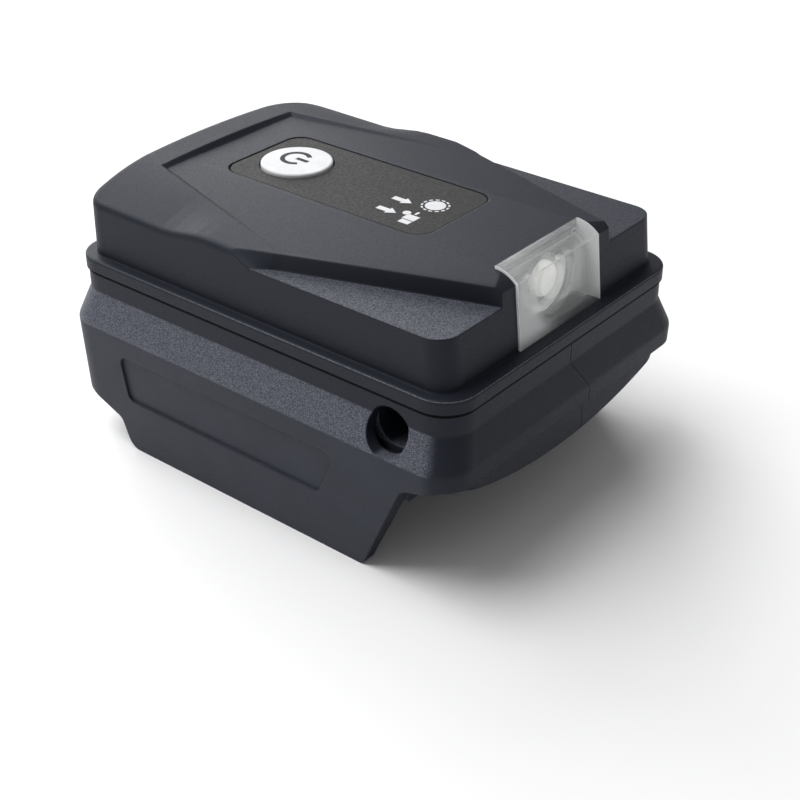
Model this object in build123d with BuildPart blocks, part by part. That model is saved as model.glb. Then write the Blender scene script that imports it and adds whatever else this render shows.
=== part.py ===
# Slide-on USB power adapter for a cordless tool pack, with a work lamp and a push button.
# Millimetres. +X is the lamp end, +Z is up, and z = 0 is the bottom of the two side skirts.
import os

from build123d import *

os.makedirs("parts", exist_ok=True)

# Shell outline, seen from above
flange_length = 92.0
flange_width = 70.0
flange_radius = 6.6

# Heights of the shell
part_line_z = 36.2
flange_height = 2.7
shelf_height = 9.6
panel_height = 13.9
rim_rise = 1.7
panel_fall = 1.7

# Walls and clearances
wall = 2.3
panel_wall = 2.5
base_wall = 2.5
ledge = 2.3
front_ledge = 3.0
flange_edge = 0.5
rib_thickness = 1.2
fit_gap = 0.12
press_gap = 0.04
travel_gap = 0.3
screw_gap = 0.2
corner_follow = 0.6
spare = 1.0
cut_reach = 10.0

# Base: waist, shoulder, skirts and end walls
waist_inset = 0.4
waist_height = 4.3
shoulder_height = 6.0
shoulder_side = 2.3
shoulder_end = 1.3
shoulder_round = 2.5
shadow_height = 0.35
shadow_depth = 0.7
skirt_lean = 1.2
end_lean = 0.3
skirt_thickness = 3.9
rear_wall_low_z = 9.8
rear_wall_run = 3.0
front_wall_low_z = 22.6
heel_gap = 13.4
heel_run = 2.0
heel_step_z = 6.3
toe_gap = 18.4
toe_knee_gap = 9.0
toe_knee_z = 20.5
profile_radii = [6.0, 2.0, 3.0, 1.5, 3.0, 3.0]
corner_step = 1.5
ceiling_z = 16.0
ceiling_thickness = 2.5
channel_rear_gap = 2.0
rear_wall_thickness = 3.3
apron_setback = 1.3
apron_radius = 6.5
apron_arch = 5.7
apron_arch_depth = 10.0
room_depth = 1.9
recess_depth = 0.5
recess_low_z = 11.6
recess_high_z = 21.5
recess_rear_gap = 14.6
recess_rear_lean = 1.2
recess_front_gap = 28.3
recess_front_lean = 4.7
recess_radius = 1.8

# Rails that hold the pack, and the pocket for its latch
rail_low_z = 6.2
rail_thickness = 2.8
rail_reach = 6.0
rail_rear_gap = 13.0
rail_front_gap = 17.0
rail_lead_in = 2.0
latch_length = 14.0
latch_width = 24.0
latch_depth = 5.0
latch_front_gap = 14.0
latch_wall = 1.5

# Screw that joins the base's halves, in its pocket through the right side
pocket_front_gap = 13.1
pocket_z = 30.0
pocket_radius = 4.35
pocket_wall = 1.75
pocket_floor_y = -12.0
pocket_floor = 2.0
seam_gap = 0.12
seam_jog = 4.4
seam_jog_setback = 6.0
seam_jog_drop = 0.5
seam_boss_radius = 4.0
seam_screw_length = 23.0

# Top cover: draft, folds, shelves and nose
draft_front = 1.8
draft_side = 0.4
draft_spare = 3.2
crown_reach = 1.3
crease_gap = 9.5
crease_rear_y = 18.3
crease_end_gap = 42.2
crease_end_y = 28.7
riser_height = 0.6
riser_end = 0.05
crease_start_fall = 0.1
riser_run = 0.8
rim_step = 1.0
rim_slope = 0.7
rim_sink = 0.3
rear_bulge = 1.0
wave_bulge = 0.25
plateau_bulge = 0.15
side_rise = 0.1
wave_gap = 8.0
wave_length = 11.5
wave_rise = 1.8
nose_crown = 0.9
nose_spread = 2.4
shelf_start_gap = 49.5
shelf_start_reach = 1.5
shelf_sweep = 3.8
shelf_knee = 7.0
shelf_bend = 12.0
shelf_bite = 2.75
shelf_slope = 0.352
shelf_lean = 0.44
attic_front_gap = 8.0
socket_side_room = 0.9
cover_edge_radius = 1.4
cover_edge_band = 2.5
nose_length = 8.7
nose_run = 4.4
nose_drop = 1.7
nose_fall = 0.75
tongue_depth = 1.5
tongue_thickness = 1.2

# Window, label and button
window_width = 24.8
window_wall = 1.6
window_proud = 0.4
window_hook = 1.8
hook_riser = 0.7
hook_thickness = 1.0
hook_side_gap = 1.0
label_length = 48.4
label_width = 21.6
label_corner = 3.6
label_rear_gap = 18.0
label_thickness = 0.5
label_sink = 0.1
label_gap = 0.25
label_margin = 1.2
button_gap = 9.3
button_radius = 7.0
button_proud = 0.5
button_edge = 0.4
button_lip = 1.2
button_travel = 0.4
plunger_radius = 1.8

# Fasteners
cover_screw_rear_gap = 12.0
cover_screw_front_gap = 24.0
cover_screw_edge_gap = 11.5
cover_screw_radius = 1.5
cover_screw_head = 2.8
cover_screw_length = 22.0
cover_seat_z = 21.0
boss_radius = 3.5
boss_foot_radius = 4.5
board_screw_radius = 1.0
board_screw_head = 2.1
board_screw_length = 6.0
board_post_radius = 2.5
board_screw_rear = 27.4
board_screw_pitch_x = 32.0
board_screw_edge_gap = 2.5
screw_head_height = 1.9
screw_head_chamfer = 0.55
cross_length_share = 1.1
cross_width_share = 0.28
cross_depth = 1.15

# Main board and what stands on it
board_gap = 0.4
board_low_z = 41.1
board_thickness = 1.6
board_length = 65.4
board_width = 38.0
board_corner = 1.0
board_tongue_width = 18.0
usb_width = 13.1
usb_height = 5.7
usb_depth = 14.0
usb_spacing = 19.0
usb_skin = 0.35
usb_round = 0.7
usb_proud = 0.2
spring_length = 6.0
spring_width = 1.4
spring_slot = 0.4
usb_block_depth = 2.5
usb_tongue_width = 11.1
usb_tongue_height = 1.8
usb_tongue_drop = 0.55
usb_tongue_setback = 1.0
contact_width = 1.0
contact_thickness = 0.2
contact_setback = 2.0
contact_inner_pitch = 2.0
contact_outer_pitch = 7.0
switch_size = 6.0
switch_height = 3.5
switch_corner = 0.6
switch_plate = 0.3
stem_radius = 1.7
stem_height = 1.7
stem_root = 0.7

# Converter under the board
inductor_radius = 7.0
inductor_height = 9.0
inductor_disc = 1.5
inductor_core_radius = 3.0
winding_radius = 6.4
inductor_rear = 41.4
can_chamfer = 0.5
can_groove_gap = 1.6
can_groove_width = 0.8
can_groove_depth = 0.4
can_vent_share = 1.2
can_vent_width = 0.3
can_vent_depth = 0.2
input_cap_radius = 5.0
input_cap_height = 16.0
input_cap_rear = 17.4
input_cap_edge_gap = 6.0
output_cap_radius = 3.15
output_cap_height = 11.0
output_cap_rear = 51.4
output_cap_edge_gap = 7.0
chip_rears = (35.4, 51.4)
chip_edge_gaps = (6.0, 8.0)
chip_length = 4.9
chip_width = 3.9
chip_height = 1.5
diode_rear = 33.4
diode_edge_gap = 7.0
diode_length = 4.4
diode_width = 2.6
diode_height = 2.2

# Lamp
lamp_z = 46.5
lamp_radius = 3.3
lamp_board_thickness = 1.6
lamp_board_width = 19.0
lamp_board_low_z = 40.5
lamp_board_high_z = 49.0
lamp_height = 1.6
lamp_round = 0.9
reflector_radius = 6.0
reflector_wall = 1.1
reflector_height = 1.3
reflector_chamfer = 0.66

# Terminals that meet the pack
terminal_rear_gap = 6.3
terminal_length = 14.4
terminal_width = 31.4
terminal_low_z = 10.0
terminal_end_chamfer = 1.0
terminal_side_chamfer = 0.8
terminal_flange = 1.7
terminal_rear_flange = 1.5
terminal_flange_height = 2.0
terminal_pitch = 18.0
blade_thickness = 0.8
blade_chamfer = 0.28
blade_low_z = 10.8
blade_height = 4.6
blade_reach = 12.3
tab_width = 3.2
tab_rear_gap = 2.1
tab_top_z = 24.0
lead_radius = 1.2
lead_bend = 4.0
lead_shift_x = 5.5
lead_shift_y = 1.0
lead_rise = 6.5

# Derived places
front_x = flange_length / 2
rear_x = -flange_length / 2
half_width = flange_width / 2
ledge_z = part_line_z + flange_height
shelf_z = ledge_z + shelf_height
panel_z = ledge_z + panel_height
edge_z = panel_z - panel_fall
waist_z = part_line_z - waist_height
shoulder_z = waist_z - shoulder_height
block_front_x = front_x - front_ledge
block_rear_x = rear_x + ledge
block_half_width = half_width - ledge
block_radius = flange_radius - ledge
block_top_z = panel_z + draft_spare
skirt_outer_y = half_width + shoulder_side
skirt_inner_y = skirt_outer_y - skirt_thickness
chamber_floor_z = ceiling_z + ceiling_thickness
cavity_top_z = shelf_z - wall
attic_top_z = panel_z - panel_wall
nose_start_x = front_x - nose_length
pocket_x = front_x - pocket_front_gap
board_rear_x = block_rear_x + wall + board_gap
board_top_z = board_low_z + board_thickness
board_half = board_width / 2
label_rear_x = rear_x + label_rear_gap
label_centre_x = label_rear_x + label_length / 2
label_floor_z = panel_z - label_sink - label_thickness
button_x = label_rear_x + button_gap
cover_screw_x = (rear_x + cover_screw_rear_gap, front_x - cover_screw_front_gap)
cover_screw_y = half_width - cover_screw_edge_gap
board_screw_x = board_rear_x + board_screw_rear + board_screw_pitch_x / 2
inductor_x = board_rear_x + inductor_rear
terminal_rear_x = rear_x + terminal_rear_gap
terminal_front_x = terminal_rear_x + terminal_length
shelf_start_x = front_x - shelf_start_gap
wave_start_x = shelf_start_x - wave_gap - wave_length
beyond = front_x + cut_reach


def both_sides(y):
    """The same place on the left and right of the centre plane."""
    return (y, -y)


def front_face_x(z):
    """X of the cover's leaning front wall at height z."""
    return block_front_x - draft_front * (z - ledge_z) / (block_top_z - ledge_z)


def block_outline(z, inset):
    """Rounded rectangle of the cover's upper block at height z, drawn in from its wall."""
    share = (z - ledge_z) / (block_top_z - ledge_z)
    front = front_face_x(z) - inset
    rear = block_rear_x + inset
    width = 2 * (block_half_width - draft_side * share - inset)
    with BuildSketch(Plane.XY.offset(z)) as outline:
        with Locations(((front + rear) / 2, 0)):
            RectangleRounded(front - rear, width, block_radius - corner_follow * inset)
    return outline.sketch


def block_solid(low_z, high_z, inset):
    """Tapered block between two heights, drawn in from the cover's wall."""
    with BuildPart() as block:
        add(block_outline(low_z, inset))
        add(block_outline(high_z, inset))
        loft(ruled=True)
    return block.part


def column(x, y, low_z, high_z, radius):
    """Upright cylinder between two heights."""
    with BuildPart() as post:
        with BuildSketch(Plane.XY.offset(low_z)):
            with Locations((x, y)):
                Circle(radius)
        extrude(amount=high_z - low_z)
    return post.part


def block(low, high):
    """Box between two opposite corners."""
    with BuildPart() as box:
        with BuildSketch(Plane.XY.offset(low[2])):
            with Locations(((low[0] + high[0]) / 2, (low[1] + high[1]) / 2)):
                Rectangle(high[0] - low[0], high[1] - low[1])
        extrude(amount=high[2] - low[2])
    return box.part


def pan_screw(seat, head_radius, shank_radius, length):
    """Cheese-head screw: the head lies under the seat plane and the shank rises from it."""
    with BuildPart() as screw:
        with BuildSketch(seat):
            Circle(head_radius)
        extrude(amount=-screw_head_height)
        head_face = screw.faces().sort_by(Axis(seat.origin, seat.z_dir))[0]
        chamfer(head_face.edges(), screw_head_chamfer)
        with BuildSketch(seat):
            Circle(shank_radius)
        extrude(amount=length)
        cross_length = cross_length_share * head_radius
        cross_width = cross_width_share * head_radius
        with BuildSketch(seat.offset(-screw_head_height)):
            Rectangle(cross_length, cross_width)
            Rectangle(cross_width, cross_length)
        extrude(amount=cross_depth, mode=Mode.SUBTRACT)
    return screw.part


def save(part, label):
    """Name a finished piece and write its file."""
    part.label = label
    export_step(part, f"parts/{label}.step")


# Crowned top: sections across the width, joined along the length
crease_rear_x = rear_x + crease_gap
crease_end_x = front_x - crease_end_gap


def crease_at(x):
    """Fold line between the panel and the side facet at x: its Y, the panel's Z there and the riser."""
    share = (x - crease_rear_x) / (crease_end_x - crease_rear_x)
    y = crease_rear_y + share * (crease_end_y - crease_rear_y)
    rear_z = panel_z - crease_start_fall
    riser = riser_height + share * (riser_end - riser_height)
    return (y, rear_z + share * (edge_z - rear_z), riser)


def crown_section(x, crease, side_z, bulge):
    """Section of the crowned top at x: a panel, a riser up to the crease, and a bulging side facet."""
    reach = block_half_width + crown_reach
    foot_z = part_line_z - spare
    crease_y, low_z, riser = crease
    crease_z = low_z + riser
    inner_y = crease_y - riser_run
    inner_z = low_z + riser_run / (crease_y - panel_half) * (panel_z - low_z)
    middle = ((reach + crease_y) / 2, (side_z + crease_z) / 2 + bulge)
    with BuildSketch(Plane.YZ.offset(x)) as section:
        with BuildLine():
            ThreePointArc((reach, side_z), middle, (crease_y, crease_z))
            Polyline((crease_y, crease_z), (inner_y, inner_z), (panel_half, panel_z))
            Polyline((panel_half, panel_z), (-panel_half, panel_z))
            Polyline((-panel_half, panel_z), (-inner_y, inner_z), (-crease_y, crease_z))
            ThreePointArc((-crease_y, crease_z), (-middle[0], middle[1]), (-reach, side_z))
            Polyline((-reach, side_z), (-reach, foot_z), (reach, foot_z), (reach, side_z))
        make_face()
    return section.sketch


panel_half = label_width / 2 + label_margin
side_low_z = shelf_z + side_rise
side_high_z = side_low_z + wave_rise
crown_rear_x = rear_x - spare
rear_share = (crease_rear_x - crown_rear_x) / (wave_start_x - crown_rear_x)
crease_bulge = rear_bulge + rear_share * (wave_bulge - rear_bulge)
with BuildPart() as crown:
    add(crown_section(crown_rear_x, crease_at(crown_rear_x), side_low_z, rear_bulge))
    add(crown_section(crease_rear_x, crease_at(crease_rear_x), side_low_z, crease_bulge))
    for share in (0, 0.25, 0.5, 0.75, 1):
        wave_x = wave_start_x + share * wave_length
        wave_z = side_low_z + wave_rise * share ** 2 * (3 - 2 * share)
        bulge = wave_bulge + share * (plateau_bulge - wave_bulge)
        add(crown_section(wave_x, crease_at(wave_x), wave_z, bulge))
    add(crown_section(crease_end_x, crease_at(crease_end_x), side_high_z, plateau_bulge))
    nose_crease = (panel_half + nose_spread, edge_z + nose_crown, riser_end)
    add(crown_section(front_x + spare, nose_crease, side_high_z, plateau_bulge))
    loft(ruled=True)


# Raised rear rim, which steps down to the panel
def rim_section(x, rise, edge_rise):
    """Section of the rim's crowned cap at x, with its rise in the middle and at the two fold lines."""
    crease_y, crease_low_z, _ = crease_at(x)
    crease_z = crease_low_z + edge_rise
    low_z = panel_z - 2 * spare
    with BuildSketch(Plane.YZ.offset(x)) as section:
        with BuildLine():
            ThreePointArc((crease_y, crease_z), (0, panel_z + rise), (-crease_y, crease_z))
            Polyline((-crease_y, crease_z), (-crease_y, low_z), (crease_y, low_z), (crease_y, crease_z))
        make_face()
    return section.sketch


rim_front_x = crease_rear_x - rim_slope
with BuildPart() as rear_rim:
    add(rim_section(crown_rear_x, rim_rise, crease_at(crown_rear_x)[2]))
    add(rim_section(rim_front_x, rim_step, crease_at(rim_front_x)[2]))
    add(rim_section(crease_rear_x + rim_slope, -rim_sink, -rim_sink))
    loft(ruled=True)


# Rounded nose: what lies above the panel's roll down to the front wall
def nose_cutter(inset):
    """Solid above the cover's top and nose, lowered by inset."""
    start = (nose_start_x, panel_z - inset)
    end = (nose_start_x + nose_run - 0.5 * inset, panel_z - nose_drop - inset)
    run = front_x + spare - end[0]
    low = (end[0] + run, end[1] - run * nose_fall)
    high_z = block_top_z + spare
    with BuildPart() as cutter:
        with BuildSketch(Plane.XZ):
            with BuildLine():
                TangentArc(start, end, tangent=(1, 0))
                Polyline(end, low, (low[0], high_z), (nose_start_x, high_z), start)
            make_face()
        extrude(amount=half_width + spare, both=True)
    return cutter.part


# Shelves beside the nose, cut down in the two front corners
shelf_knee_x = shelf_start_x + shelf_knee
shelf_far_x = front_x + 4 * spare


def shelf_outline(z, side):
    """Plan of one shelf's cutter at height z; its wall leans in and starts further back with height."""
    rise = z - shelf_z
    entry = (shelf_start_x - shelf_sweep * rise, side * (block_half_width + shelf_start_reach))
    knee = (shelf_knee_x, side * (block_half_width - shelf_bite - shelf_lean * rise))
    far_y = block_half_width - shelf_bite - shelf_slope * (shelf_far_x - shelf_knee_x)
    far = (shelf_far_x, side * far_y)
    outside = side * (half_width + 3 * spare)
    with BuildSketch(Plane.XY.offset(z)) as outline:
        with BuildLine():
            FilletPolyline(entry, knee, far, radius=shelf_bend)
            Polyline(far, (far[0], outside), (entry[0], outside), entry)
        make_face()
    return outline.sketch


def shelf_cutter(side):
    """Solid above one shelf."""
    with BuildPart() as cutter:
        add(shelf_outline(shelf_z, side))
        add(shelf_outline(block_top_z + spare, side))
        loft(ruled=True)
    return cutter.part


with BuildPart() as cover_limit:
    add(crown.part)
    add(rear_rim.part)
    add(nose_cutter(0), mode=Mode.SUBTRACT)
    add(shelf_cutter(1), mode=Mode.SUBTRACT)
    add(shelf_cutter(-1), mode=Mode.SUBTRACT)

with BuildPart() as cover_shell:
    add(block_solid(ledge_z - spare, block_top_z, 0))
    add(cover_limit.part, mode=Mode.INTERSECT)
    shell_top_edges = [
        edge for edge in cover_shell.edges()
        if edge.center().Z > shelf_z - spare and edge.center().X < wave_start_x + wave_length
        and (abs(edge.center().Y) > block_half_width - cover_edge_band
             or edge.center().X < block_rear_x + cover_edge_band)]
    fillet(shell_top_edges, cover_edge_radius)

# Room for the board and the sockets under the panel
attic_rear_y = (usb_spacing + usb_width) / 2 + socket_side_room
attic_bend_y = block_half_width - shelf_bite - 1.5 * wall
attic_front_x = front_x - attic_front_gap
with BuildPart() as attic:
    with BuildSketch(Plane.XY.offset(cavity_top_z - spare)):
        attic_front_y = attic_bend_y - shelf_slope * (attic_front_x - shelf_knee_x)
        Polygon(
            (block_rear_x + wall, -attic_rear_y), (shelf_knee_x, -attic_bend_y),
            (attic_front_x, -attic_front_y), (attic_front_x, attic_front_y),
            (shelf_knee_x, attic_bend_y), (block_rear_x + wall, attic_rear_y), align=None)
    extrude(amount=attic_top_z - cavity_top_z + spare)

# Tongue under the cover's flange, which drops inside the base's rim
tongue_outer_length = flange_length - 2 * (waist_inset + base_wall + fit_gap)
tongue_outer_width = flange_width - 2 * (waist_inset + base_wall + fit_gap)
tongue_radius = flange_radius - waist_inset - corner_follow * base_wall
tongue_low_z = part_line_z - tongue_depth
with BuildPart() as tongue_ring:
    with BuildSketch(Plane.XY.offset(tongue_low_z)):
        RectangleRounded(tongue_outer_length, tongue_outer_width, tongue_radius)
        RectangleRounded(
            tongue_outer_length - 2 * tongue_thickness, tongue_outer_width - 2 * tongue_thickness,
            tongue_radius - corner_follow * tongue_thickness, mode=Mode.SUBTRACT)
    extrude(amount=tongue_depth)
    tube_reach = pocket_radius + pocket_wall + spare
    add(block((pocket_x - tube_reach, -half_width, tongue_low_z - spare),
              (pocket_x + tube_reach, 0, part_line_z)), mode=Mode.SUBTRACT)

board_screw_spots = [
    (board_screw_x + dx * board_screw_pitch_x / 2, y)
    for dx in (-1, 1) for y in both_sides(board_half - board_screw_edge_gap)]
cover_screw_spots = [(x, y) for x in cover_screw_x for y in both_sides(cover_screw_y)]
window_half = window_width / 2
usb_mid_z = board_top_z + usb_height / 2

with BuildPart() as top_cover:
    with BuildSketch(Plane.XY.offset(part_line_z)):
        RectangleRounded(flange_length, flange_width, flange_radius)
    extrude(amount=flange_height)
    fillet(top_cover.faces().sort_by(Axis.Z)[-1].edges(), flange_edge)
    add(cover_shell.part)
    add(block_solid(part_line_z, cavity_top_z, wall), mode=Mode.SUBTRACT)
    add(attic.part, mode=Mode.SUBTRACT)
    add(tongue_ring.part)
    for x, y in cover_screw_spots:
        add(column(x, y, part_line_z, cavity_top_z + spare, boss_radius))
        wall_y = block_half_width - wall / 2 if y > 0 else wall / 2 - block_half_width
        add(block((x - rib_thickness / 2, min(y, wall_y), part_line_z + rib_thickness),
                  (x + rib_thickness / 2, max(y, wall_y), cavity_top_z)))
    for x, y in board_screw_spots:
        add(column(x, y, board_top_z, attic_top_z + panel_wall / 4, board_post_radius))
    for x, y in cover_screw_spots:
        add(column(x, y, part_line_z, cavity_top_z - spare, cover_screw_radius + press_gap),
            mode=Mode.SUBTRACT)
    for x, y in board_screw_spots:
        add(column(x, y, board_top_z, board_low_z + board_screw_length + spare,
                   board_screw_radius + press_gap), mode=Mode.SUBTRACT)
    with BuildSketch(Plane.XY.offset(label_floor_z)):
        with Locations((label_centre_x, 0)):
            RectangleRounded(label_length + 2 * label_gap, label_width + 2 * label_gap, label_corner)
    extrude(amount=panel_z - label_floor_z + spare, mode=Mode.SUBTRACT)
    add(column(button_x, 0, attic_top_z - spare, panel_z + spare, button_radius + travel_gap),
        mode=Mode.SUBTRACT)
    for y in both_sides(usb_spacing / 2):
        half_usb = usb_width / 2 + travel_gap
        add(block((rear_x - spare, y - half_usb, board_top_z - travel_gap),
                  (block_rear_x + wall + spare, y + half_usb, board_top_z + usb_height + travel_gap)),
            mode=Mode.SUBTRACT)
    add(block((nose_start_x - fit_gap, -window_half - fit_gap, ledge_z),
              (front_x + spare, window_half + fit_gap, block_top_z + spare)), mode=Mode.SUBTRACT)
save(top_cover.part, "top_cover")

# Clear window over the nose and front wall, with side walls and a hook under the panel
with BuildPart() as light_window:
    add(block_solid(ledge_z, block_top_z, -window_proud))
    add(nose_cutter(-window_proud), mode=Mode.SUBTRACT)
    add(block((nose_start_x, -window_half, ledge_z), (front_x, window_half, panel_z + spare)),
        mode=Mode.INTERSECT)
    with BuildPart(mode=Mode.PRIVATE) as window_room:
        add(block_solid(ledge_z, block_top_z, window_wall))
        add(nose_cutter(window_wall), mode=Mode.SUBTRACT)
        add(block((nose_start_x - spare, -window_half + window_wall, ledge_z - spare),
                  (front_x, window_half - window_wall, panel_z - window_wall)), mode=Mode.INTERSECT)
    add(window_room.part, mode=Mode.SUBTRACT)
    hook_half = window_half - window_wall - hook_side_gap
    hook_low_z = attic_top_z - hook_thickness
    riser_x = nose_start_x + hook_riser
    add(block((nose_start_x, -hook_half, hook_low_z), (riser_x, hook_half, panel_z - window_wall)))
    add(block((nose_start_x - window_hook, -hook_half, hook_low_z), (riser_x, hook_half, attic_top_z)))
save(light_window.part, "light_window")

# Label panel in its recess, with a hole for the button
with BuildPart() as label_panel:
    with BuildSketch(Plane.XY.offset(label_floor_z)):
        with Locations((label_centre_x, 0)):
            RectangleRounded(label_length, label_width, label_corner)
        with Locations((button_x, 0)):
            Circle(button_radius + travel_gap, mode=Mode.SUBTRACT)
    extrude(amount=label_thickness)
save(label_panel.part, "label_panel")

# Push button, held under the cover by its lip and sprung by the switch
button_top_z = panel_z + button_proud
lip_top_z = attic_top_z - travel_gap
switch_top_z = board_top_z + switch_height + switch_plate
stem_top_z = switch_top_z + stem_height
with BuildPart() as power_button:
    add(column(button_x, 0, lip_top_z - button_lip, button_top_z, button_radius))
    fillet(power_button.faces().sort_by(Axis.Z)[-1].edges(), button_edge)
    add(column(button_x, 0, lip_top_z - button_lip, lip_top_z, button_radius + button_lip))
    add(column(button_x, 0, stem_top_z, lip_top_z - button_lip, plunger_radius))
save(power_button.part, "power_button")

# Tactile switch under the button
stem_low_z = switch_top_z - switch_plate - stem_root
with BuildPart() as switch_body:
    half_switch = switch_size / 2
    add(block((button_x - half_switch, -half_switch, board_top_z),
              (button_x + half_switch, half_switch, board_top_z + switch_height)))
    bore_low_z = stem_low_z - button_travel - travel_gap
    add(column(button_x, 0, bore_low_z, switch_top_z, stem_radius + travel_gap), mode=Mode.SUBTRACT)
save(switch_body.part, "switch_body")

with BuildPart() as switch_cover:
    with BuildSketch(Plane.XY.offset(board_top_z + switch_height)):
        with Locations((button_x, 0)):
            RectangleRounded(switch_size, switch_size, switch_corner)
            Circle(stem_radius + travel_gap, mode=Mode.SUBTRACT)
    extrude(amount=switch_plate)
save(switch_cover.part, "switch_cover")

with BuildPart() as switch_stem:
    add(column(button_x, 0, stem_low_z, stem_top_z, stem_radius))
save(switch_stem.part, "switch_stem")


# Base: a waist, a sloping shoulder and two skirts that lean in towards the floor
def base_outline(z, side_out, end_out, radius, inset):
    """Rounded rectangle of the base at height z, drawn in from its wall."""
    with BuildSketch(Plane.XY.offset(z)) as outline:
        length = flange_length + 2 * (end_out - inset)
        width = flange_width + 2 * (side_out - inset)
        RectangleRounded(length, width, radius - corner_follow * inset)
    return outline.sketch


waist_radius = flange_radius - waist_inset
shadow_z = part_line_z - shadow_height
foot_side = shoulder_side - skirt_lean
foot_end = shoulder_end - end_lean
with BuildPart() as base_block:
    add(base_outline(shadow_z, -waist_inset, -waist_inset, waist_radius, 0))
    add(base_outline(waist_z, -waist_inset, -waist_inset, waist_radius, 0))
    add(base_outline(shoulder_z, shoulder_side, shoulder_end, flange_radius, 0))
    add(base_outline(0, foot_side, foot_end, flange_radius, 0))
    loft(ruled=True)
    shoulder_edges = base_block.edges().filter_by_position(
        Axis.Z, shoulder_z - fit_gap, shoulder_z + fit_gap)
    fillet(shoulder_edges, shoulder_round)
    add(base_outline(shadow_z, -waist_inset, -waist_inset, waist_radius, shadow_depth))
    extrude(amount=shadow_height)

# Lower outline of the base, seen from the side
heel_x = rear_x + heel_gap
toe_x = front_x - toe_gap
knee_x = front_x - toe_knee_gap
corner_x = front_x - corner_step
with BuildPart() as base_profile:
    with BuildSketch(Plane.XZ):
        with BuildLine():
            FilletPolyline(
                (-beyond, rear_wall_low_z), (rear_x + rear_wall_run, rear_wall_low_z),
                (heel_x - heel_run, heel_step_z), (heel_x, 0), (toe_x, 0), (knee_x, toe_knee_z),
                (corner_x, front_wall_low_z), (beyond, front_wall_low_z), radius=profile_radii)
            Polyline(
                (beyond, front_wall_low_z), (beyond, part_line_z + spare), (-beyond, part_line_z + spare),
                (-beyond, rear_wall_low_z))
        make_face()
    extrude(amount=skirt_outer_y + spare, both=True)

# Apron: the chamber's floor and front, set back behind the outer wall
apron_front_x = front_x + shoulder_end - apron_setback
apron_rear_x = rear_x + rear_wall_thickness
apron_half_width = skirt_inner_y + fit_gap
arch_end_z = ceiling_z + apron_arch
arch_side_y = apron_half_width + spare
arch_low_z = ceiling_z - spare
with BuildPart() as apron:
    with BuildSketch(Plane.XY.offset(ceiling_z)):
        with Locations(((apron_front_x + apron_rear_x) / 2, 0)):
            RectangleRounded(apron_front_x - apron_rear_x, 2 * apron_half_width, apron_radius)
    extrude(amount=(waist_z + shoulder_z) / 2 - ceiling_z)
    with BuildSketch(Plane.YZ.offset(apron_front_x - apron_arch_depth)):
        with BuildLine():
            ThreePointArc((-skirt_inner_y, arch_end_z), (0, ceiling_z), (skirt_inner_y, arch_end_z))
            Polyline(
                (skirt_inner_y, arch_end_z), (arch_side_y, arch_end_z), (arch_side_y, arch_low_z),
                (-arch_side_y, arch_low_z), (-arch_side_y, arch_end_z), (-skirt_inner_y, arch_end_z))
        make_face()
    extrude(amount=apron_arch_depth + spare, mode=Mode.SUBTRACT)

# Room inside the base
with BuildPart() as base_room:
    add(base_outline(part_line_z, -waist_inset, -waist_inset, waist_radius, base_wall))
    add(base_outline(waist_z, -waist_inset, -waist_inset, waist_radius, base_wall))
    add(base_outline(shoulder_z, shoulder_side, shoulder_end, flange_radius, base_wall))
    add(base_outline(shoulder_z - room_depth, shoulder_side, shoulder_end, flange_radius, base_wall))
    loft(ruled=True)
    room_front_x = apron_front_x - apron_arch_depth - base_wall
    room_half = skirt_inner_y - base_wall
    add(block((rear_x + base_wall, -room_half, chamber_floor_z), (room_front_x, room_half, shoulder_z)))

# Rail along the inside of one skirt
rail_rear_x = rear_x + rail_rear_gap
rail_front_x = front_x - rail_front_gap


def rail(side):
    """Rail on one skirt, tapered at its front end so that the pack finds it."""
    root_y = side * (skirt_inner_y + skirt_thickness / 4)
    tip_y = side * (skirt_inner_y - rail_reach)
    entry_y = side * (skirt_inner_y - rail_reach + rail_lead_in)
    with BuildPart() as ridge:
        with BuildSketch(Plane.XY.offset(rail_low_z)):
            Polygon(
                (rail_rear_x, root_y), (rail_rear_x, tip_y), (rail_front_x - 2 * rail_lead_in, tip_y),
                (rail_front_x, entry_y), (rail_front_x, root_y), align=None)
        extrude(amount=rail_thickness)
    return ridge.part


def side_recess(side):
    """Shallow panel sunk into one skirt's leaning outer face."""
    foot_y = side * (half_width + foot_side)
    lean = (0, side * shoulder_z, -skirt_lean)
    face = Plane(origin=(0, foot_y, 0), x_dir=(1, 0, 0), z_dir=lean)
    up = -side
    rear = rear_x + recess_rear_gap
    front = front_x - recess_front_gap
    with BuildPart() as panel:
        with BuildSketch(face):
            Polygon(
                (rear - recess_rear_lean, up * recess_high_z), (rear, up * recess_low_z),
                (front, up * recess_low_z), (front + recess_front_lean, up * recess_high_z), align=None)
            fillet(vertices(), recess_radius)
        extrude(amount=recess_depth, both=True)
    return panel.part


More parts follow.
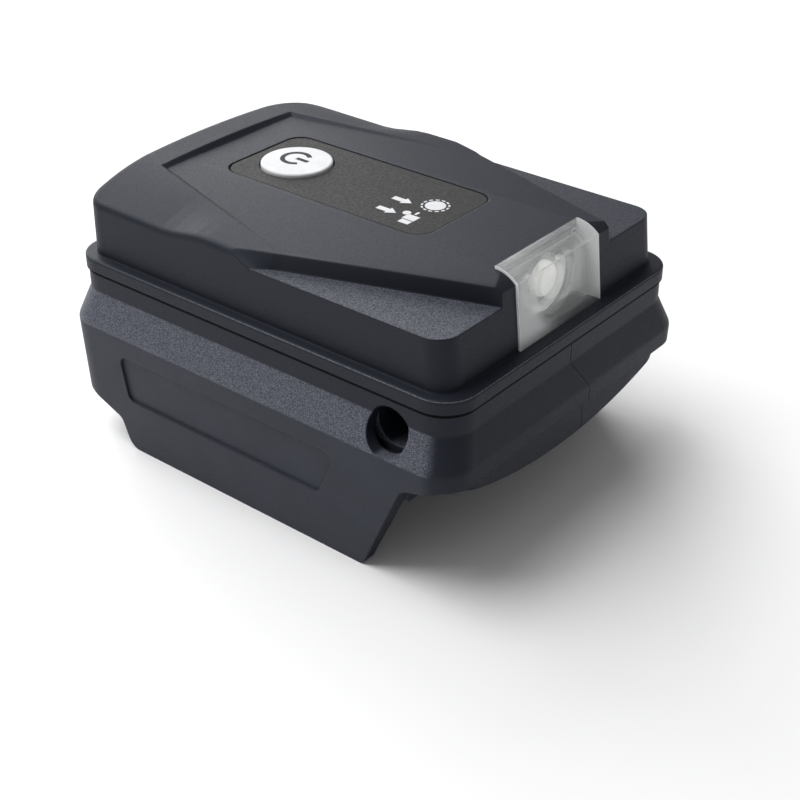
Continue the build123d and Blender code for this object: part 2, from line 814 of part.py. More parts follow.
# Base in one piece, before it is split along its seam
latch_front_x = front_x - latch_front_gap
latch_rear_x = latch_front_x - latch_length
with BuildPart() as base:
    add(base_block.part.intersect(base_profile.part))
    add(block((rear_x + channel_rear_gap, -skirt_inner_y, -spare),
              (beyond, skirt_inner_y, ceiling_z)), mode=Mode.SUBTRACT)
    add(apron.part)
    add(base_room.part, mode=Mode.SUBTRACT)
    for side in (1, -1):
        add(rail(side))
        add(side_recess(side), mode=Mode.SUBTRACT)
    add(block((latch_rear_x - latch_wall, -latch_width / 2 - latch_wall, ceiling_z),
              (latch_front_x + latch_wall, latch_width / 2 + latch_wall, ceiling_z + latch_depth + latch_wall)))
    add(block((latch_rear_x, -latch_width / 2, ceiling_z - spare),
              (latch_front_x, latch_width / 2, ceiling_z + latch_depth)), mode=Mode.SUBTRACT)
    add(block((terminal_rear_x - travel_gap, -terminal_width / 2 - travel_gap, ceiling_z - spare),
              (terminal_front_x + travel_gap, terminal_width / 2 + travel_gap, chamber_floor_z + spare)),
        mode=Mode.SUBTRACT)
    for x, y in cover_screw_spots:
        add(column(x, y, ceiling_z, cover_seat_z + base_wall, boss_foot_radius))
        add(column(x, y, cover_seat_z, part_line_z, boss_radius))
        add(column(x, y, ceiling_z - spare, cover_seat_z, cover_screw_head + travel_gap),
            mode=Mode.SUBTRACT)
        add(column(x, y, ceiling_z, part_line_z, cover_screw_radius + screw_gap), mode=Mode.SUBTRACT)
    pocket_plane = Plane(origin=(pocket_x, 0, pocket_z), x_dir=(1, 0, 0), z_dir=(0, -1, 0))
    pocket_root = -pocket_floor_y - pocket_floor
    with BuildSketch(pocket_plane.offset(pocket_root)):
        Circle(pocket_radius + pocket_wall)
    extrude(amount=half_width - base_wall - pocket_root)
    boss_root = half_width - base_wall
    with BuildSketch(pocket_plane.offset(-boss_root)):
        Circle(seam_boss_radius)
    extrude(amount=boss_root + pocket_root)
    with BuildSketch(pocket_plane.offset(-pocket_floor_y)):
        Circle(pocket_radius)
    extrude(amount=half_width, mode=Mode.SUBTRACT)
    with BuildSketch(pocket_plane):
        Circle(cover_screw_radius + screw_gap)
    extrude(amount=-pocket_floor_y + spare, mode=Mode.SUBTRACT)
    with BuildSketch(pocket_plane):
        Circle(cover_screw_radius + press_gap)
    extrude(amount=-pocket_floor_y - seam_screw_length - spare, mode=Mode.SUBTRACT)
    beyond_y = half_width + 3 * spare
    add(block((-beyond, -beyond_y, part_line_z), (beyond, beyond_y, waist_z + 3 * flange_height)),
        mode=Mode.SUBTRACT)


def right_region(gap):
    """Everything on the right of the seam, which jogs to the left low on the front wall."""
    jog_x = front_x - seam_jog_setback
    with BuildPart() as region:
        add(block((-beyond, -half_width - 3 * spare, -spare), (beyond, gap, part_line_z + spare)))
        with BuildSketch(Plane.YZ.offset(jog_x)):
            Polygon(
                (-spare, waist_z), (gap, waist_z), (seam_jog + gap, shoulder_z - seam_jog_drop),
                (seam_jog + gap, -spare), (-spare, -spare), align=None)
        extrude(amount=beyond - jog_x)
    return region.part


with BuildPart() as lower_housing_right:
    add(base.part)
    add(right_region(0), mode=Mode.INTERSECT)
save(lower_housing_right.part, "lower_housing_right")

with BuildPart() as lower_housing_left:
    add(base.part)
    add(right_region(seam_gap), mode=Mode.SUBTRACT)
save(lower_housing_left.part, "lower_housing_left")

# Main board: a wide rear part and a narrow tongue that reaches the lamp's board
lamp_tip_x = front_face_x(lamp_z + lamp_radius) - window_wall - travel_gap
lamp_board_x = lamp_tip_x - lamp_height - lamp_board_thickness
with BuildPart() as main_board:
    add(block((board_rear_x, -board_half, board_low_z),
              (board_rear_x + board_length, board_half, board_top_z)))
    fillet(main_board.edges().filter_by(Axis.Z), board_corner)
    add(block((board_rear_x + board_length - board_corner, -board_tongue_width / 2, board_low_z),
              (lamp_board_x, board_tongue_width / 2, board_top_z)))
    for x, y in board_screw_spots:
        add(column(x, y, board_low_z, board_top_z, board_screw_radius + screw_gap), mode=Mode.SUBTRACT)
save(main_board.part, "main_board")


# USB sockets on the rear edge of the board, open towards -X
usb_face_x = block_rear_x - usb_proud
usb_back_x = usb_face_x + usb_depth


def usb_shell(y):
    """Folded steel shell of one socket, with its mouth flared and two springs cut in its top."""
    half = usb_width / 2
    top_z = board_top_z + usb_height
    with BuildPart() as shell:
        add(block((usb_face_x, y - half, board_top_z), (usb_back_x, y + half, top_z)))
        fillet(shell.edges().filter_by(Axis.X), usb_round)
        with BuildSketch(Plane.YZ.offset(usb_face_x)):
            with Locations((y, usb_mid_z)):
                RectangleRounded(usb_width - 2 * usb_skin, usb_height - 2 * usb_skin, usb_round - usb_skin)
        extrude(amount=usb_depth - usb_skin, mode=Mode.SUBTRACT)
        for dy in both_sides(usb_width / 4):
            with BuildSketch(Plane.XY.offset(top_z)):
                with Locations((usb_face_x + usb_depth / 2, y + dy)):
                    Rectangle(spring_length, spring_width + 2 * spring_slot)
                    with Locations((spring_slot, 0)):
                        Rectangle(spring_length, spring_width, mode=Mode.SUBTRACT)
            extrude(amount=-1.5 * usb_skin, mode=Mode.SUBTRACT)
    return shell.part


def usb_tongue(y):
    """Insulator of one socket: a block at the back and a tongue under the shell's top."""
    half_room = usb_width / 2 - usb_skin - fit_gap
    low_z = board_top_z + usb_skin + fit_gap
    high_z = board_top_z + usb_height - usb_skin - fit_gap
    back_x = usb_back_x - usb_skin
    tongue_top_z = high_z - usb_tongue_drop
    with BuildPart() as insulator:
        add(block((back_x - usb_block_depth, y - half_room, low_z), (back_x, y + half_room, high_z)))
        add(block((usb_face_x + usb_tongue_setback, y - usb_tongue_width / 2, tongue_top_z - usb_tongue_height),
                  (back_x - usb_block_depth / 2, y + usb_tongue_width / 2, tongue_top_z)))
    return insulator.part


def usb_contacts(y):
    """Four contact strips under one socket's tongue."""
    top_z = board_top_z + usb_height - usb_skin - fit_gap - usb_tongue_drop - usb_tongue_height
    rear_end_x = usb_back_x - usb_skin - usb_block_depth
    with BuildPart() as strips:
        for dy in both_sides(contact_inner_pitch / 2) + both_sides(contact_outer_pitch / 2):
            add(block((usb_face_x + contact_setback, y + dy - contact_width / 2, top_z - contact_thickness),
                      (rear_end_x, y + dy + contact_width / 2, top_z)))
    return strips.part


for name, usb_y in (("left", usb_spacing / 2), ("right", -usb_spacing / 2)):
    save(usb_shell(usb_y), f"usb_shell_{name}")
    save(usb_tongue(usb_y), f"usb_tongue_{name}")
    save(usb_contacts(usb_y), f"usb_contacts_{name}")

# Lamp behind the window: its own upright board, a reflector ring and the lamp
lamp_face_x = lamp_board_x + lamp_board_thickness
lamp_plane = Plane(origin=(lamp_face_x, 0, lamp_z), x_dir=(0, 1, 0), z_dir=(1, 0, 0))
with BuildPart() as lamp_board:
    add(block((lamp_board_x, -lamp_board_width / 2, lamp_board_low_z),
              (lamp_face_x, lamp_board_width / 2, lamp_board_high_z)))
    fillet(lamp_board.edges().filter_by(Axis.X), board_corner)
save(lamp_board.part, "lamp_board")

with BuildPart() as lamp_reflector:
    with BuildSketch(lamp_plane):
        Circle(reflector_radius)
        Circle(reflector_radius - reflector_wall, mode=Mode.SUBTRACT)
    extrude(amount=reflector_height)
    inner_edge = lamp_reflector.faces().sort_by(Axis.X)[-1].edges().sort_by(SortBy.LENGTH)[0]
    chamfer(inner_edge, reflector_chamfer)
    add(block((lamp_face_x, -reflector_radius, lamp_board_high_z),
              (lamp_face_x + reflector_height, reflector_radius, panel_z)), mode=Mode.SUBTRACT)
save(lamp_reflector.part, "lamp_reflector")

with BuildPart() as work_lamp:
    with BuildSketch(lamp_plane):
        Circle(lamp_radius)
    extrude(amount=lamp_height)
    fillet(work_lamp.faces().sort_by(Axis.X)[-1].edges(), lamp_round)
save(work_lamp.part, "work_lamp")

# Terminal block, which hangs through the chamber's floor
blade_rear_x = terminal_rear_x + tab_rear_gap
tab_front_x = blade_rear_x + tab_width
blade_top_z = blade_low_z + blade_height
terminal_top_z = chamber_floor_z + terminal_flange_height


def terminal_profile(thickness, tip_x, top_z, gap, y):
    """L-shaped contact at y: a blade towards +X and a solder tab upwards."""
    low_z = blade_low_z - gap
    blade_z = blade_top_z + gap
    with BuildPart() as contact:
        with BuildSketch(Plane.XZ.offset(-y)):
            Polygon(
                (blade_rear_x - gap, low_z), (tip_x, low_z), (tip_x, blade_z), (tab_front_x + gap, blade_z),
                (tab_front_x + gap, top_z), (blade_rear_x - gap, top_z), align=None)
        extrude(amount=thickness / 2, both=True)
    return contact.part


with BuildPart() as terminal_block:
    half_terminal = terminal_width / 2
    add(block((terminal_rear_x, -half_terminal, terminal_low_z),
              (terminal_front_x, half_terminal, terminal_top_z)))
    lower_edges = terminal_block.faces().sort_by(Axis.Z)[0].edges()
    chamfer(lower_edges.filter_by(Axis.Y), terminal_end_chamfer)
    side_edges = terminal_block.faces().sort_by(Axis.Z)[0].edges().filter_by(Axis.X)
    chamfer(side_edges, terminal_side_chamfer)
    add(block((terminal_rear_x - terminal_rear_flange, -half_terminal - terminal_flange, chamber_floor_z),
              (terminal_front_x + terminal_flange, half_terminal + terminal_flange, terminal_top_z)))
    slot_thickness = blade_thickness + 2 * press_gap
    for y in both_sides(terminal_pitch / 2):
        add(terminal_profile(slot_thickness, terminal_front_x + spare, terminal_top_z + spare, press_gap, y),
            mode=Mode.SUBTRACT)
save(terminal_block.part, "terminal_block")

blade_tip_x = terminal_front_x + blade_reach
for name, y in (("positive", terminal_pitch / 2), ("negative", -terminal_pitch / 2)):
    with BuildPart() as terminal:
        add(terminal_profile(blade_thickness, blade_tip_x, tab_top_z, 0, y))
        tip_edges = terminal.faces().sort_by(Axis.X)[-1].edges().filter_by(Axis.Z)
        chamfer(tip_edges, blade_chamfer)
    save(terminal.part, f"{name}_terminal")

# Leads from the solder tabs up to the board
for name, side in (("positive", 1), ("negative", -1)):
    foot_x = (blade_rear_x + tab_front_x) / 2
    foot_y = side * terminal_pitch / 2
    top_x = foot_x + lead_shift_x
    top_y = foot_y + side * lead_shift_y
    corner_low_z = tab_top_z + lead_rise
    corner_high_z = board_low_z - lead_rise
    with BuildPart() as lead:
        with BuildLine() as lead_path:
            FilletPolyline(
                (foot_x, foot_y, tab_top_z), (foot_x, foot_y, corner_low_z),
                (top_x, top_y, corner_high_z), (top_x, top_y, board_low_z), radius=lead_bend)
        with BuildSketch(Plane.XY.offset(tab_top_z)):
            with Locations((foot_x, foot_y)):
                Circle(lead_radius)
        sweep(path=lead_path.wires()[0])
    save(lead.part, f"{name}_lead")

# Converter under the board: drum inductor, two capacitors, chips and a diode
inductor_low_z = board_low_z - inductor_height
with BuildPart() as inductor_core:
    add(column(inductor_x, 0, inductor_low_z, board_low_z, inductor_core_radius))
    add(column(inductor_x, 0, inductor_low_z, inductor_low_z + inductor_disc, inductor_radius))
    add(column(inductor_x, 0, board_low_z - inductor_disc, board_low_z, inductor_radius))
save(inductor_core.part, "inductor_core")

with BuildPart() as inductor_winding:
    winding_low_z = inductor_low_z + inductor_disc
    winding_high_z = board_low_z - inductor_disc
    add(column(inductor_x, 0, winding_low_z, winding_high_z, winding_radius))
    add(column(inductor_x, 0, winding_low_z, winding_high_z, inductor_core_radius), mode=Mode.SUBTRACT)
save(inductor_winding.part, "inductor_winding")


def capacitor(x, y, radius, height):
    """Can capacitor that hangs under the board, with its rolled groove and scored vent."""
    low_z = board_low_z - height
    groove_high_z = board_low_z - can_groove_gap
    groove_low_z = groove_high_z - can_groove_width
    vent_length = can_vent_share * radius
    with BuildPart() as can:
        add(column(x, y, low_z, board_low_z, radius))
        chamfer(can.faces().sort_by(Axis.Z)[0].edges(), can_chamfer)
        with BuildPart(mode=Mode.PRIVATE) as groove:
            add(column(x, y, groove_low_z, groove_high_z, radius + spare))
            add(column(x, y, groove_low_z, groove_high_z, radius - can_groove_depth), mode=Mode.SUBTRACT)
        add(groove.part, mode=Mode.SUBTRACT)
        with BuildSketch(Plane.XY.offset(low_z)):
            with Locations((x, y)):
                Rectangle(vent_length, can_vent_width)
                Rectangle(can_vent_width, vent_length)
        extrude(amount=can_vent_depth, mode=Mode.SUBTRACT)
    return can.part


input_cap_x = board_rear_x + input_cap_rear
input_cap_y = input_cap_edge_gap - board_half
output_cap_x = board_rear_x + output_cap_rear
output_cap_y = board_half - output_cap_edge_gap
save(capacitor(input_cap_x, input_cap_y, input_cap_radius, input_cap_height), "input_capacitor")
save(capacitor(output_cap_x, output_cap_y, output_cap_radius, output_cap_height), "output_capacitor")

with BuildPart() as converter_chips:
    for chip_rear, chip_edge_gap in zip(chip_rears, chip_edge_gaps):
        chip_x = board_rear_x + chip_rear
        chip_y = chip_edge_gap - board_half
        add(block((chip_x - chip_length / 2, chip_y - chip_width / 2, board_low_z - chip_height),
                  (chip_x + chip_length / 2, chip_y + chip_width / 2, board_low_z)))
save(converter_chips.part, "converter_chips")

with BuildPart() as power_diode:
    diode_x = board_rear_x + diode_rear
    diode_y = board_half - diode_edge_gap
    add(block((diode_x - diode_length / 2, diode_y - diode_width / 2, board_low_z - diode_height),
              (diode_x + diode_length / 2, diode_y + diode_width / 2, board_low_z)))
save(power_diode.part, "power_diode")

# Screws
with BuildPart() as cover_screws:
    for x, y in cover_screw_spots:
        add(pan_screw(Plane((x, y, cover_seat_z)), cover_screw_head, cover_screw_radius, cover_screw_length))
save(cover_screws.part, "cover_screws")

with BuildPart() as board_screws:
    for x, y in board_screw_spots:
        add(pan_screw(Plane((x, y, board_low_z)), board_screw_head, board_screw_radius, board_screw_length))
save(board_screws.part, "board_screws")

seam_seat = Plane(origin=(pocket_x, pocket_floor_y, pocket_z), x_dir=(1, 0, 0), z_dir=(0, 1, 0))
with BuildPart() as housing_screw:
    add(pan_screw(seam_seat, cover_screw_head, cover_screw_radius, seam_screw_length))
save(housing_screw.part, "housing_screw")
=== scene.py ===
"""Finishes the USB power adapter.

Moulded plastic, a clear lamp window, printed marks, inner parts and a photo studio.
"""
import math

import bmesh
import bpy
from bpy.props import FloatProperty, FloatVectorProperty, IntProperty, PointerProperty
from mathutils import Matrix, Vector


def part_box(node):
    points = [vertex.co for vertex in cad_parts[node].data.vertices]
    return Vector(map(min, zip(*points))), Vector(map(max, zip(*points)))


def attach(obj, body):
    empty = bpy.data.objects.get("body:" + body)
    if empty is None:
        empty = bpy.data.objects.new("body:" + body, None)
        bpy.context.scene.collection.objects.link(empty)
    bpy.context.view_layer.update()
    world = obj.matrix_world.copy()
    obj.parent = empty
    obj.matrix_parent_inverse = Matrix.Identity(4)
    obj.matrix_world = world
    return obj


bl_info = {
    "name": "USB Power Adapter Finishes",
    "version": (1, 0, 0),
    "blender": (4, 5, 0),
    "location": "3D View > Sidebar > Adapter",
    "description": "Finishes, printed marks and studio for a slide-on USB power adapter",
    "category": "Object",
}

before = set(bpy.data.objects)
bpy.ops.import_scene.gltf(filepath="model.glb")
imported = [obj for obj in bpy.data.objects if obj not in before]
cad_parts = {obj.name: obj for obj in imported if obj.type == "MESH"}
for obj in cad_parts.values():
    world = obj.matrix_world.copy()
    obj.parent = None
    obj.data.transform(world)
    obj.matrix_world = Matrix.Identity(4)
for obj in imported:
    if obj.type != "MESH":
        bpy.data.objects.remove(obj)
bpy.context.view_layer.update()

MILLIMETRE = 0.001


def mm(value):
    """A length in millimetres as Blender's metres."""
    return value * MILLIMETRE


class HousingLook(bpy.types.PropertyGroup):
    """Colour and grain of the moulded housing."""

    colour: FloatVectorProperty(
        name="Plastic colour", description="Colour of the moulded plastic",
        subtype="COLOR", size=3, min=0, max=1, default=(0.0135, 0.0152, 0.0225))
    # Painted floor light: the base's long sides below the shoulder take this paler colour
    skirt_light_colour: FloatVectorProperty(
        name="Base colour", description="Colour of the base halves, a little paler than the cover",
        subtype="COLOR", size=3, min=0, max=1, default=(0.029, 0.0315, 0.043))
    # Painted glints on the coarse grain of the shoulder and the shelves
    glint_colour: FloatVectorProperty(
        name="Glint colour", description="Colour of the lightest glints in the coarse grain",
        subtype="COLOR", size=3, min=0, max=1, default=(0.15, 0.156, 0.19))
    # Painted shade in the groove between the cover and the base
    seam_shade_colour: FloatVectorProperty(
        name="Seam colour", description="Colour of the shaded groove between the cover and the base",
        subtype="COLOR", size=3, min=0, max=1, default=(0.002, 0.002, 0.003))
    roughness: FloatProperty(
        name="Roughness", description="Roughness of the satin walls",
        subtype="FACTOR", min=0, max=1, default=0.52)
    grain_size: FloatProperty(
        name="Fine grain", description="Size of the fine moulded grain",
        subtype="DISTANCE", unit="LENGTH", default=mm(0.16))
    grain_depth: FloatProperty(
        name="Fine grain depth", description="Height of the fine moulded grain",
        subtype="DISTANCE", unit="LENGTH", default=mm(0.009))
    coarse_size: FloatProperty(
        name="Coarse grain", description="Size of the sparkling grain on the shoulder and the shelves",
        subtype="DISTANCE", unit="LENGTH", default=mm(0.22))
    coarse_depth: FloatProperty(
        name="Coarse grain depth", description="Height of the sparkling grain",
        subtype="DISTANCE", unit="LENGTH", default=mm(0.025))
    edge_round: FloatProperty(
        name="Edge rounding", description="Radius of the soft highlight along moulded edges",
        subtype="DISTANCE", unit="LENGTH", default=mm(0.55))
    # Painted highlight along the flange's top edge, broken into dots
    highlight_colour: FloatVectorProperty(
        name="Edge colour", description="Colour of the flange's rubbed top edge",
        subtype="COLOR", size=3, min=0, max=1, default=(0.13, 0.135, 0.15))
    edge_width: FloatProperty(
        name="Edge width", description="How far the rubbed line reaches down from the flange's top",
        subtype="DISTANCE", unit="LENGTH", default=mm(1.2))
    ledge_height: FloatProperty(
        name="Ledge height", description="Height of the flange's rubbed top edge",
        subtype="DISTANCE", unit="LENGTH", default=mm(38.9))
    shoulder_low: FloatProperty(
        name="Shoulder foot", description="Height where the shoulder's coarse grain starts",
        subtype="DISTANCE", unit="LENGTH", default=mm(25.6))
    shoulder_high: FloatProperty(
        name="Shoulder top", description="Height where the shoulder's coarse grain ends",
        subtype="DISTANCE", unit="LENGTH", default=mm(32.0))
    shelf_height: FloatProperty(
        name="Shelf height", description="Height of the two grained shelves beside the nose",
        subtype="DISTANCE", unit="LENGTH", default=mm(48.5))
    seam_low: FloatProperty(
        name="Seam foot", description="Height where the groove between the cover and the base starts",
        subtype="DISTANCE", unit="LENGTH", default=mm(35.62))
    seam_high: FloatProperty(
        name="Seam top", description="Height where the groove between the cover and the base ends",
        subtype="DISTANCE", unit="LENGTH", default=mm(36.42))


class WindowLook(bpy.types.PropertyGroup):
    """Clear lamp window and the lamp behind it."""

    tint: FloatVectorProperty(
        name="Window tint", description="Colour of the clear plastic",
        subtype="COLOR", size=3, min=0, max=1, default=(0.92, 0.935, 0.925))
    frost: FloatProperty(
        name="Frost", description="Roughness of the window's inside",
        subtype="FACTOR", min=0, max=1, default=0.06)
    body: FloatProperty(
        name="Body", description="How much of the clear plastic shows, from clean air to solid",
        subtype="FACTOR", min=0, max=1, default=0.28)
    haze: FloatProperty(
        name="Haze", description="Share of milky scatter in the clear plastic",
        subtype="FACTOR", min=0, max=1, default=0.1)
    # Painted light low on the near side of the window
    painted_near_light: FloatProperty(
        name="Bloom", description="Extra milky scatter low on the near side",
        subtype="FACTOR", min=0, max=1, default=0.45)
    # Painted highlights on the roll of the window's top and on its cut edges
    roll_highlight_height: FloatProperty(
        name="Roll height", description="Height of the pale stripe where the top rolls over into the front",
        subtype="DISTANCE", unit="LENGTH", default=mm(51.2))
    rim_highlight_width: FloatProperty(
        name="Rim width", description="Width of the bright rim that the cut edges show",
        subtype="DISTANCE", unit="LENGTH", default=mm(0.1))
    lamp_height: FloatProperty(
        name="Lamp height", description="Height of the lamp, which the milky scatter leaves clear",
        subtype="DISTANCE", unit="LENGTH", default=mm(46.5))
    lamp_colour: FloatVectorProperty(
        name="Lamp colour", description="Colour of the unlit lamp's lens",
        subtype="COLOR", size=3, min=0, max=1, default=(0.86, 0.87, 0.83))
    # Painted glow: the unlit lamp's lens and its ring glow a little, standing in for light through the window
    lamp_painted_glow: FloatProperty(
        name="Lamp glow", description="Light that the milky lens gathers through the window",
        min=0, max=2, default=0.32)
    ring_painted_glow: FloatProperty(
        name="Ring glow", description="Light that the pale ring round the lens gathers through the window",
        min=0, max=2, default=0.18)


class LabelLook(bpy.types.PropertyGroup):
    """Label film and the marks printed on it."""

    film_colour: FloatVectorProperty(
        name="Film colour", description="Colour of the label film",
        subtype="COLOR", size=3, min=0, max=1, default=(0.021, 0.0212, 0.0205))
    ink_colour: FloatVectorProperty(
        name="Ink colour", description="Colour of the printed marks",
        subtype="COLOR", size=3, min=0, max=1, default=(0.62, 0.63, 0.65))
    ink_thickness: FloatProperty(
        name="Ink thickness", description="Height of the print over the film",
        subtype="DISTANCE", unit="LENGTH", default=mm(0.02))
    arrow_length: FloatProperty(
        name="Arrow length", description="Length of one arrow",
        subtype="DISTANCE", unit="LENGTH", default=mm(4.3))
    arrow_head: FloatProperty(
        name="Arrow head", description="Width of an arrow's head",
        subtype="DISTANCE", unit="LENGTH", default=mm(2.5))
    arrow_shaft: FloatProperty(
        name="Arrow shaft", description="Width of an arrow's shaft",
        subtype="DISTANCE", unit="LENGTH", default=mm(1.3))
    lamp_mark_radius: FloatProperty(
        name="Lamp mark radius", description="Outer radius of the ticked lamp mark",
        subtype="DISTANCE", unit="LENGTH", default=mm(2.7))
    tick_count: IntProperty(
        name="Lamp mark ticks", description="Number of dashes round the lamp mark",
        min=4, max=36, default=13)


class ButtonLook(bpy.types.PropertyGroup):
    """Push button and its power mark."""

    colour: FloatVectorProperty(
        name="Button colour", description="Colour of the button's cap",
        subtype="COLOR", size=3, min=0, max=1, default=(0.64, 0.65, 0.665))
    mark_radius: FloatProperty(
        name="Mark radius", description="Outer radius of the power mark",
        subtype="DISTANCE", unit="LENGTH", default=mm(3.1))
    mark_stroke: FloatProperty(
        name="Mark stroke", description="Width of the power mark's line",
        subtype="DISTANCE", unit="LENGTH", default=mm(0.95))
    mark_gap: FloatProperty(
        name="Mark opening", description="Half angle of the ring's opening",
        subtype="ANGLE", unit="ROTATION", default=math.radians(43))


class InnerLook(bpy.types.PropertyGroup):
    """Colours of the parts inside the housing and in the sockets."""

    board_colour: FloatVectorProperty(
        name="Board colour", description="Colour of the main board's solder mask",
        subtype="COLOR", size=3, min=0, max=1, default=(0.012, 0.1, 0.035))
    steel_colour: FloatVectorProperty(
        name="Steel colour", description="Colour of plated steel",
        subtype="COLOR", size=3, min=0, max=1, default=(0.62, 0.62, 0.63))
    brass_colour: FloatVectorProperty(
        name="Brass colour", description="Colour of the contact strip",
        subtype="COLOR", size=3, min=0, max=1, default=(0.72, 0.5, 0.24))
    copper_colour: FloatVectorProperty(
        name="Copper colour", description="Colour of the inductor's enamelled wire",
        subtype="COLOR", size=3, min=0, max=1, default=(0.62, 0.24, 0.09))


class StudioSetup(bpy.types.PropertyGroup):
    """Floor, lights and camera."""

    camera_place: FloatVectorProperty(
        name="Camera place", description="Where the camera stands",
        subtype="TRANSLATION", unit="LENGTH", size=3, default=(mm(167.64), mm(-197.84), mm(166.53)))
    azimuth: FloatProperty(
        name="Azimuth", description="Direction that the camera looks from, counted from the front",
        subtype="ANGLE", unit="ROTATION", default=math.radians(39.10))
    elevation: FloatProperty(
        name="Elevation", description="Angle of the camera above the horizon",
        subtype="ANGLE", unit="ROTATION", default=math.radians(31.70))
    lens: FloatProperty(
        name="Lens", description="Focal length in millimetres on a 36 mm wide sensor",
        min=10, max=300, default=67.88)
    floor_colour: FloatVectorProperty(
        name="Floor colour", description="Colour of the floor",
        subtype="COLOR", size=3, min=0, max=1, default=(0.93, 0.93, 0.935))
    floor_size: FloatProperty(
        name="Floor size", description="Length of the floor's side",
        subtype="DISTANCE", unit="LENGTH", default=6.0)
    top_power: FloatProperty(
        name="Top light", description="Power of the large light above the near rear corner",
        unit="POWER", default=6.5)
    back_power: FloatProperty(
        name="Back light", description="Power of the broad light behind, whose sheen lies on the top",
        unit="POWER", default=20.7)
    side_power: FloatProperty(
        name="Side light", description="Power of the light on the long side",
        unit="POWER", default=0.3)
    sky_strength: FloatProperty(
        name="Sky", description="Strength of the even light from all round",
        min=0, max=5, default=0.28)


# The span that holds nearly all of a noise texture's values
NOISE_LOW, NOISE_HIGH = 0.3, 0.7


def add_node(tree, kind, **settings):
    """A new shader node with some of its settings."""
    node = tree.nodes.new(kind)
    for key, value in settings.items():
        setattr(node, key, value)
    return node


def join(tree, source, target):
    """Links one node's socket to another's."""
    tree.links.new(source, target)


def shader_of(material):
    """The material's Principled shader."""
    return material.node_tree.nodes["Principled BSDF"]


def start_material(name, colour, roughness, metallic=0.0):
    """A material with one Principled shader, and its node tree and shader."""
    material = bpy.data.materials.new(name)
    material.use_nodes = True
    material.diffuse_color = (*colour, 1)
    shader = shader_of(material)
    shader.inputs["Base Color"].default_value = (*colour, 1)
    shader.inputs["Roughness"].default_value = roughness
    shader.inputs["Metallic"].default_value = metallic
    return material, material.node_tree, shader


def noise(tree, size, detail=2.0, stretch=(1, 1, 1)):
    """Noise with features of one real size, read in the part's own frame."""
    place = add_node(tree, "ShaderNodeTexCoord")
    scale = add_node(tree, "ShaderNodeMapping")
    scale.inputs["Scale"].default_value = stretch
    texture = add_node(tree, "ShaderNodeTexNoise")
    texture.inputs["Scale"].default_value = 1 / size
    texture.inputs["Detail"].default_value = detail
    join(tree, place.outputs["Object"], scale.inputs["Vector"])
    join(tree, scale.outputs["Vector"], texture.inputs["Vector"])
    return texture.outputs["Fac"]


def ranged(tree, value, low, high, to_low, to_high):
    """A value moved from one range to another with a soft start and end."""
    node = add_node(tree, "ShaderNodeMapRange", interpolation_type="SMOOTHSTEP")
    node.inputs["From Min"].default_value = low
    node.inputs["From Max"].default_value = high
    node.inputs["To Min"].default_value = to_low
    node.inputs["To Max"].default_value = to_high
    join(tree, value, node.inputs["Value"])
    return node.outputs["Result"]


def patchy(tree, texture, to_low, to_high):
    """A noise texture spread between two values."""
    return ranged(tree, texture, NOISE_LOW, NOISE_HIGH, to_low, to_high)


def calculate(tree, operation, first, second=0):
    """One sum of one or two values, each a socket or a number."""
    node = add_node(tree, "ShaderNodeMath", operation=operation)
    for index, value in enumerate((first, second)):
        if isinstance(value, (int, float)):
            node.inputs[index].default_value = value
        else:
            join(tree, value, node.inputs[index])
    return node.outputs["Value"]


def product(tree, first, *others):
    """Several sockets or numbers multiplied together."""
    result = first
    for value in others:
        result = calculate(tree, "MULTIPLY", result, value)
    return result


def along(tree, vector, axis):
    """One axis of a vector."""
    split = add_node(tree, "ShaderNodeSeparateXYZ")
    join(tree, vector, split.inputs["Vector"])
    return split.outputs[axis]


def place_along(tree, axis):
    """Place on one axis of the part's own frame."""
    return along(tree, add_node(tree, "ShaderNodeTexCoord").outputs["Object"], axis)


def facing(tree, axis):
    """How far the surface faces along one axis."""
    return along(tree, add_node(tree, "ShaderNodeNewGeometry").outputs["Normal"], axis)


def band(tree, value, low, high, soft):
    """1 between two places and 0 outside, with soft ends."""
    rise = ranged(tree, value, low - soft, low + soft, 0, 1)
    fall = ranged(tree, value, high - soft, high + soft, 1, 0)
    return product(tree, rise, fall)


def blend_colours(tree, under, over, factor):
    """One colour over another, each a socket or three numbers."""
    blend = add_node(tree, "ShaderNodeMix", data_type="RGBA")
    for name, colour in (("A", under), ("B", over)):
        if isinstance(colour, bpy.types.NodeSocket):
            join(tree, colour, blend.inputs[name])
        else:
            blend.inputs[name].default_value = (*colour, 1)
    join(tree, factor, blend.inputs["Factor"])
    return blend.outputs["Result"]


def varied_colour(tree, shader, colour, size, share):
    """Gives a shader its colour with patches a little lighter and darker."""
    darker = [c * (1 - share) for c in colour]
    lighter = [min(1, c * (1 + share)) for c in colour]
    blend = blend_colours(tree, darker, lighter, patchy(tree, noise(tree, size), 0, 1))
    join(tree, blend, shader.inputs["Base Color"])
    return blend


def bump(tree, shader, height, depth, edge_round=0.0, below=None):
    """Raises the surface by a height pattern, over rounded edges or an earlier bump."""
    node = add_node(tree, "ShaderNodeBump")
    node.inputs["Distance"].default_value = depth
    node.inputs["Strength"].default_value = 1
    join(tree, height, node.inputs["Height"])
    if edge_round:
        corner = add_node(tree, "ShaderNodeBevel", samples=4)
        corner.inputs["Radius"].default_value = edge_round
        join(tree, corner.outputs["Normal"], node.inputs["Normal"])
    if below:
        join(tree, below.outputs["Normal"], node.inputs["Normal"])
    join(tree, node.outputs["Normal"], shader.inputs["Normal"])
    return node


# Size of a finish's colour and gloss patches, counted in grains, and how far its gloss strays
COLOUR_PATCH = 12
GLOSS_PATCH = 4
GLOSS_SHARE = 0.15


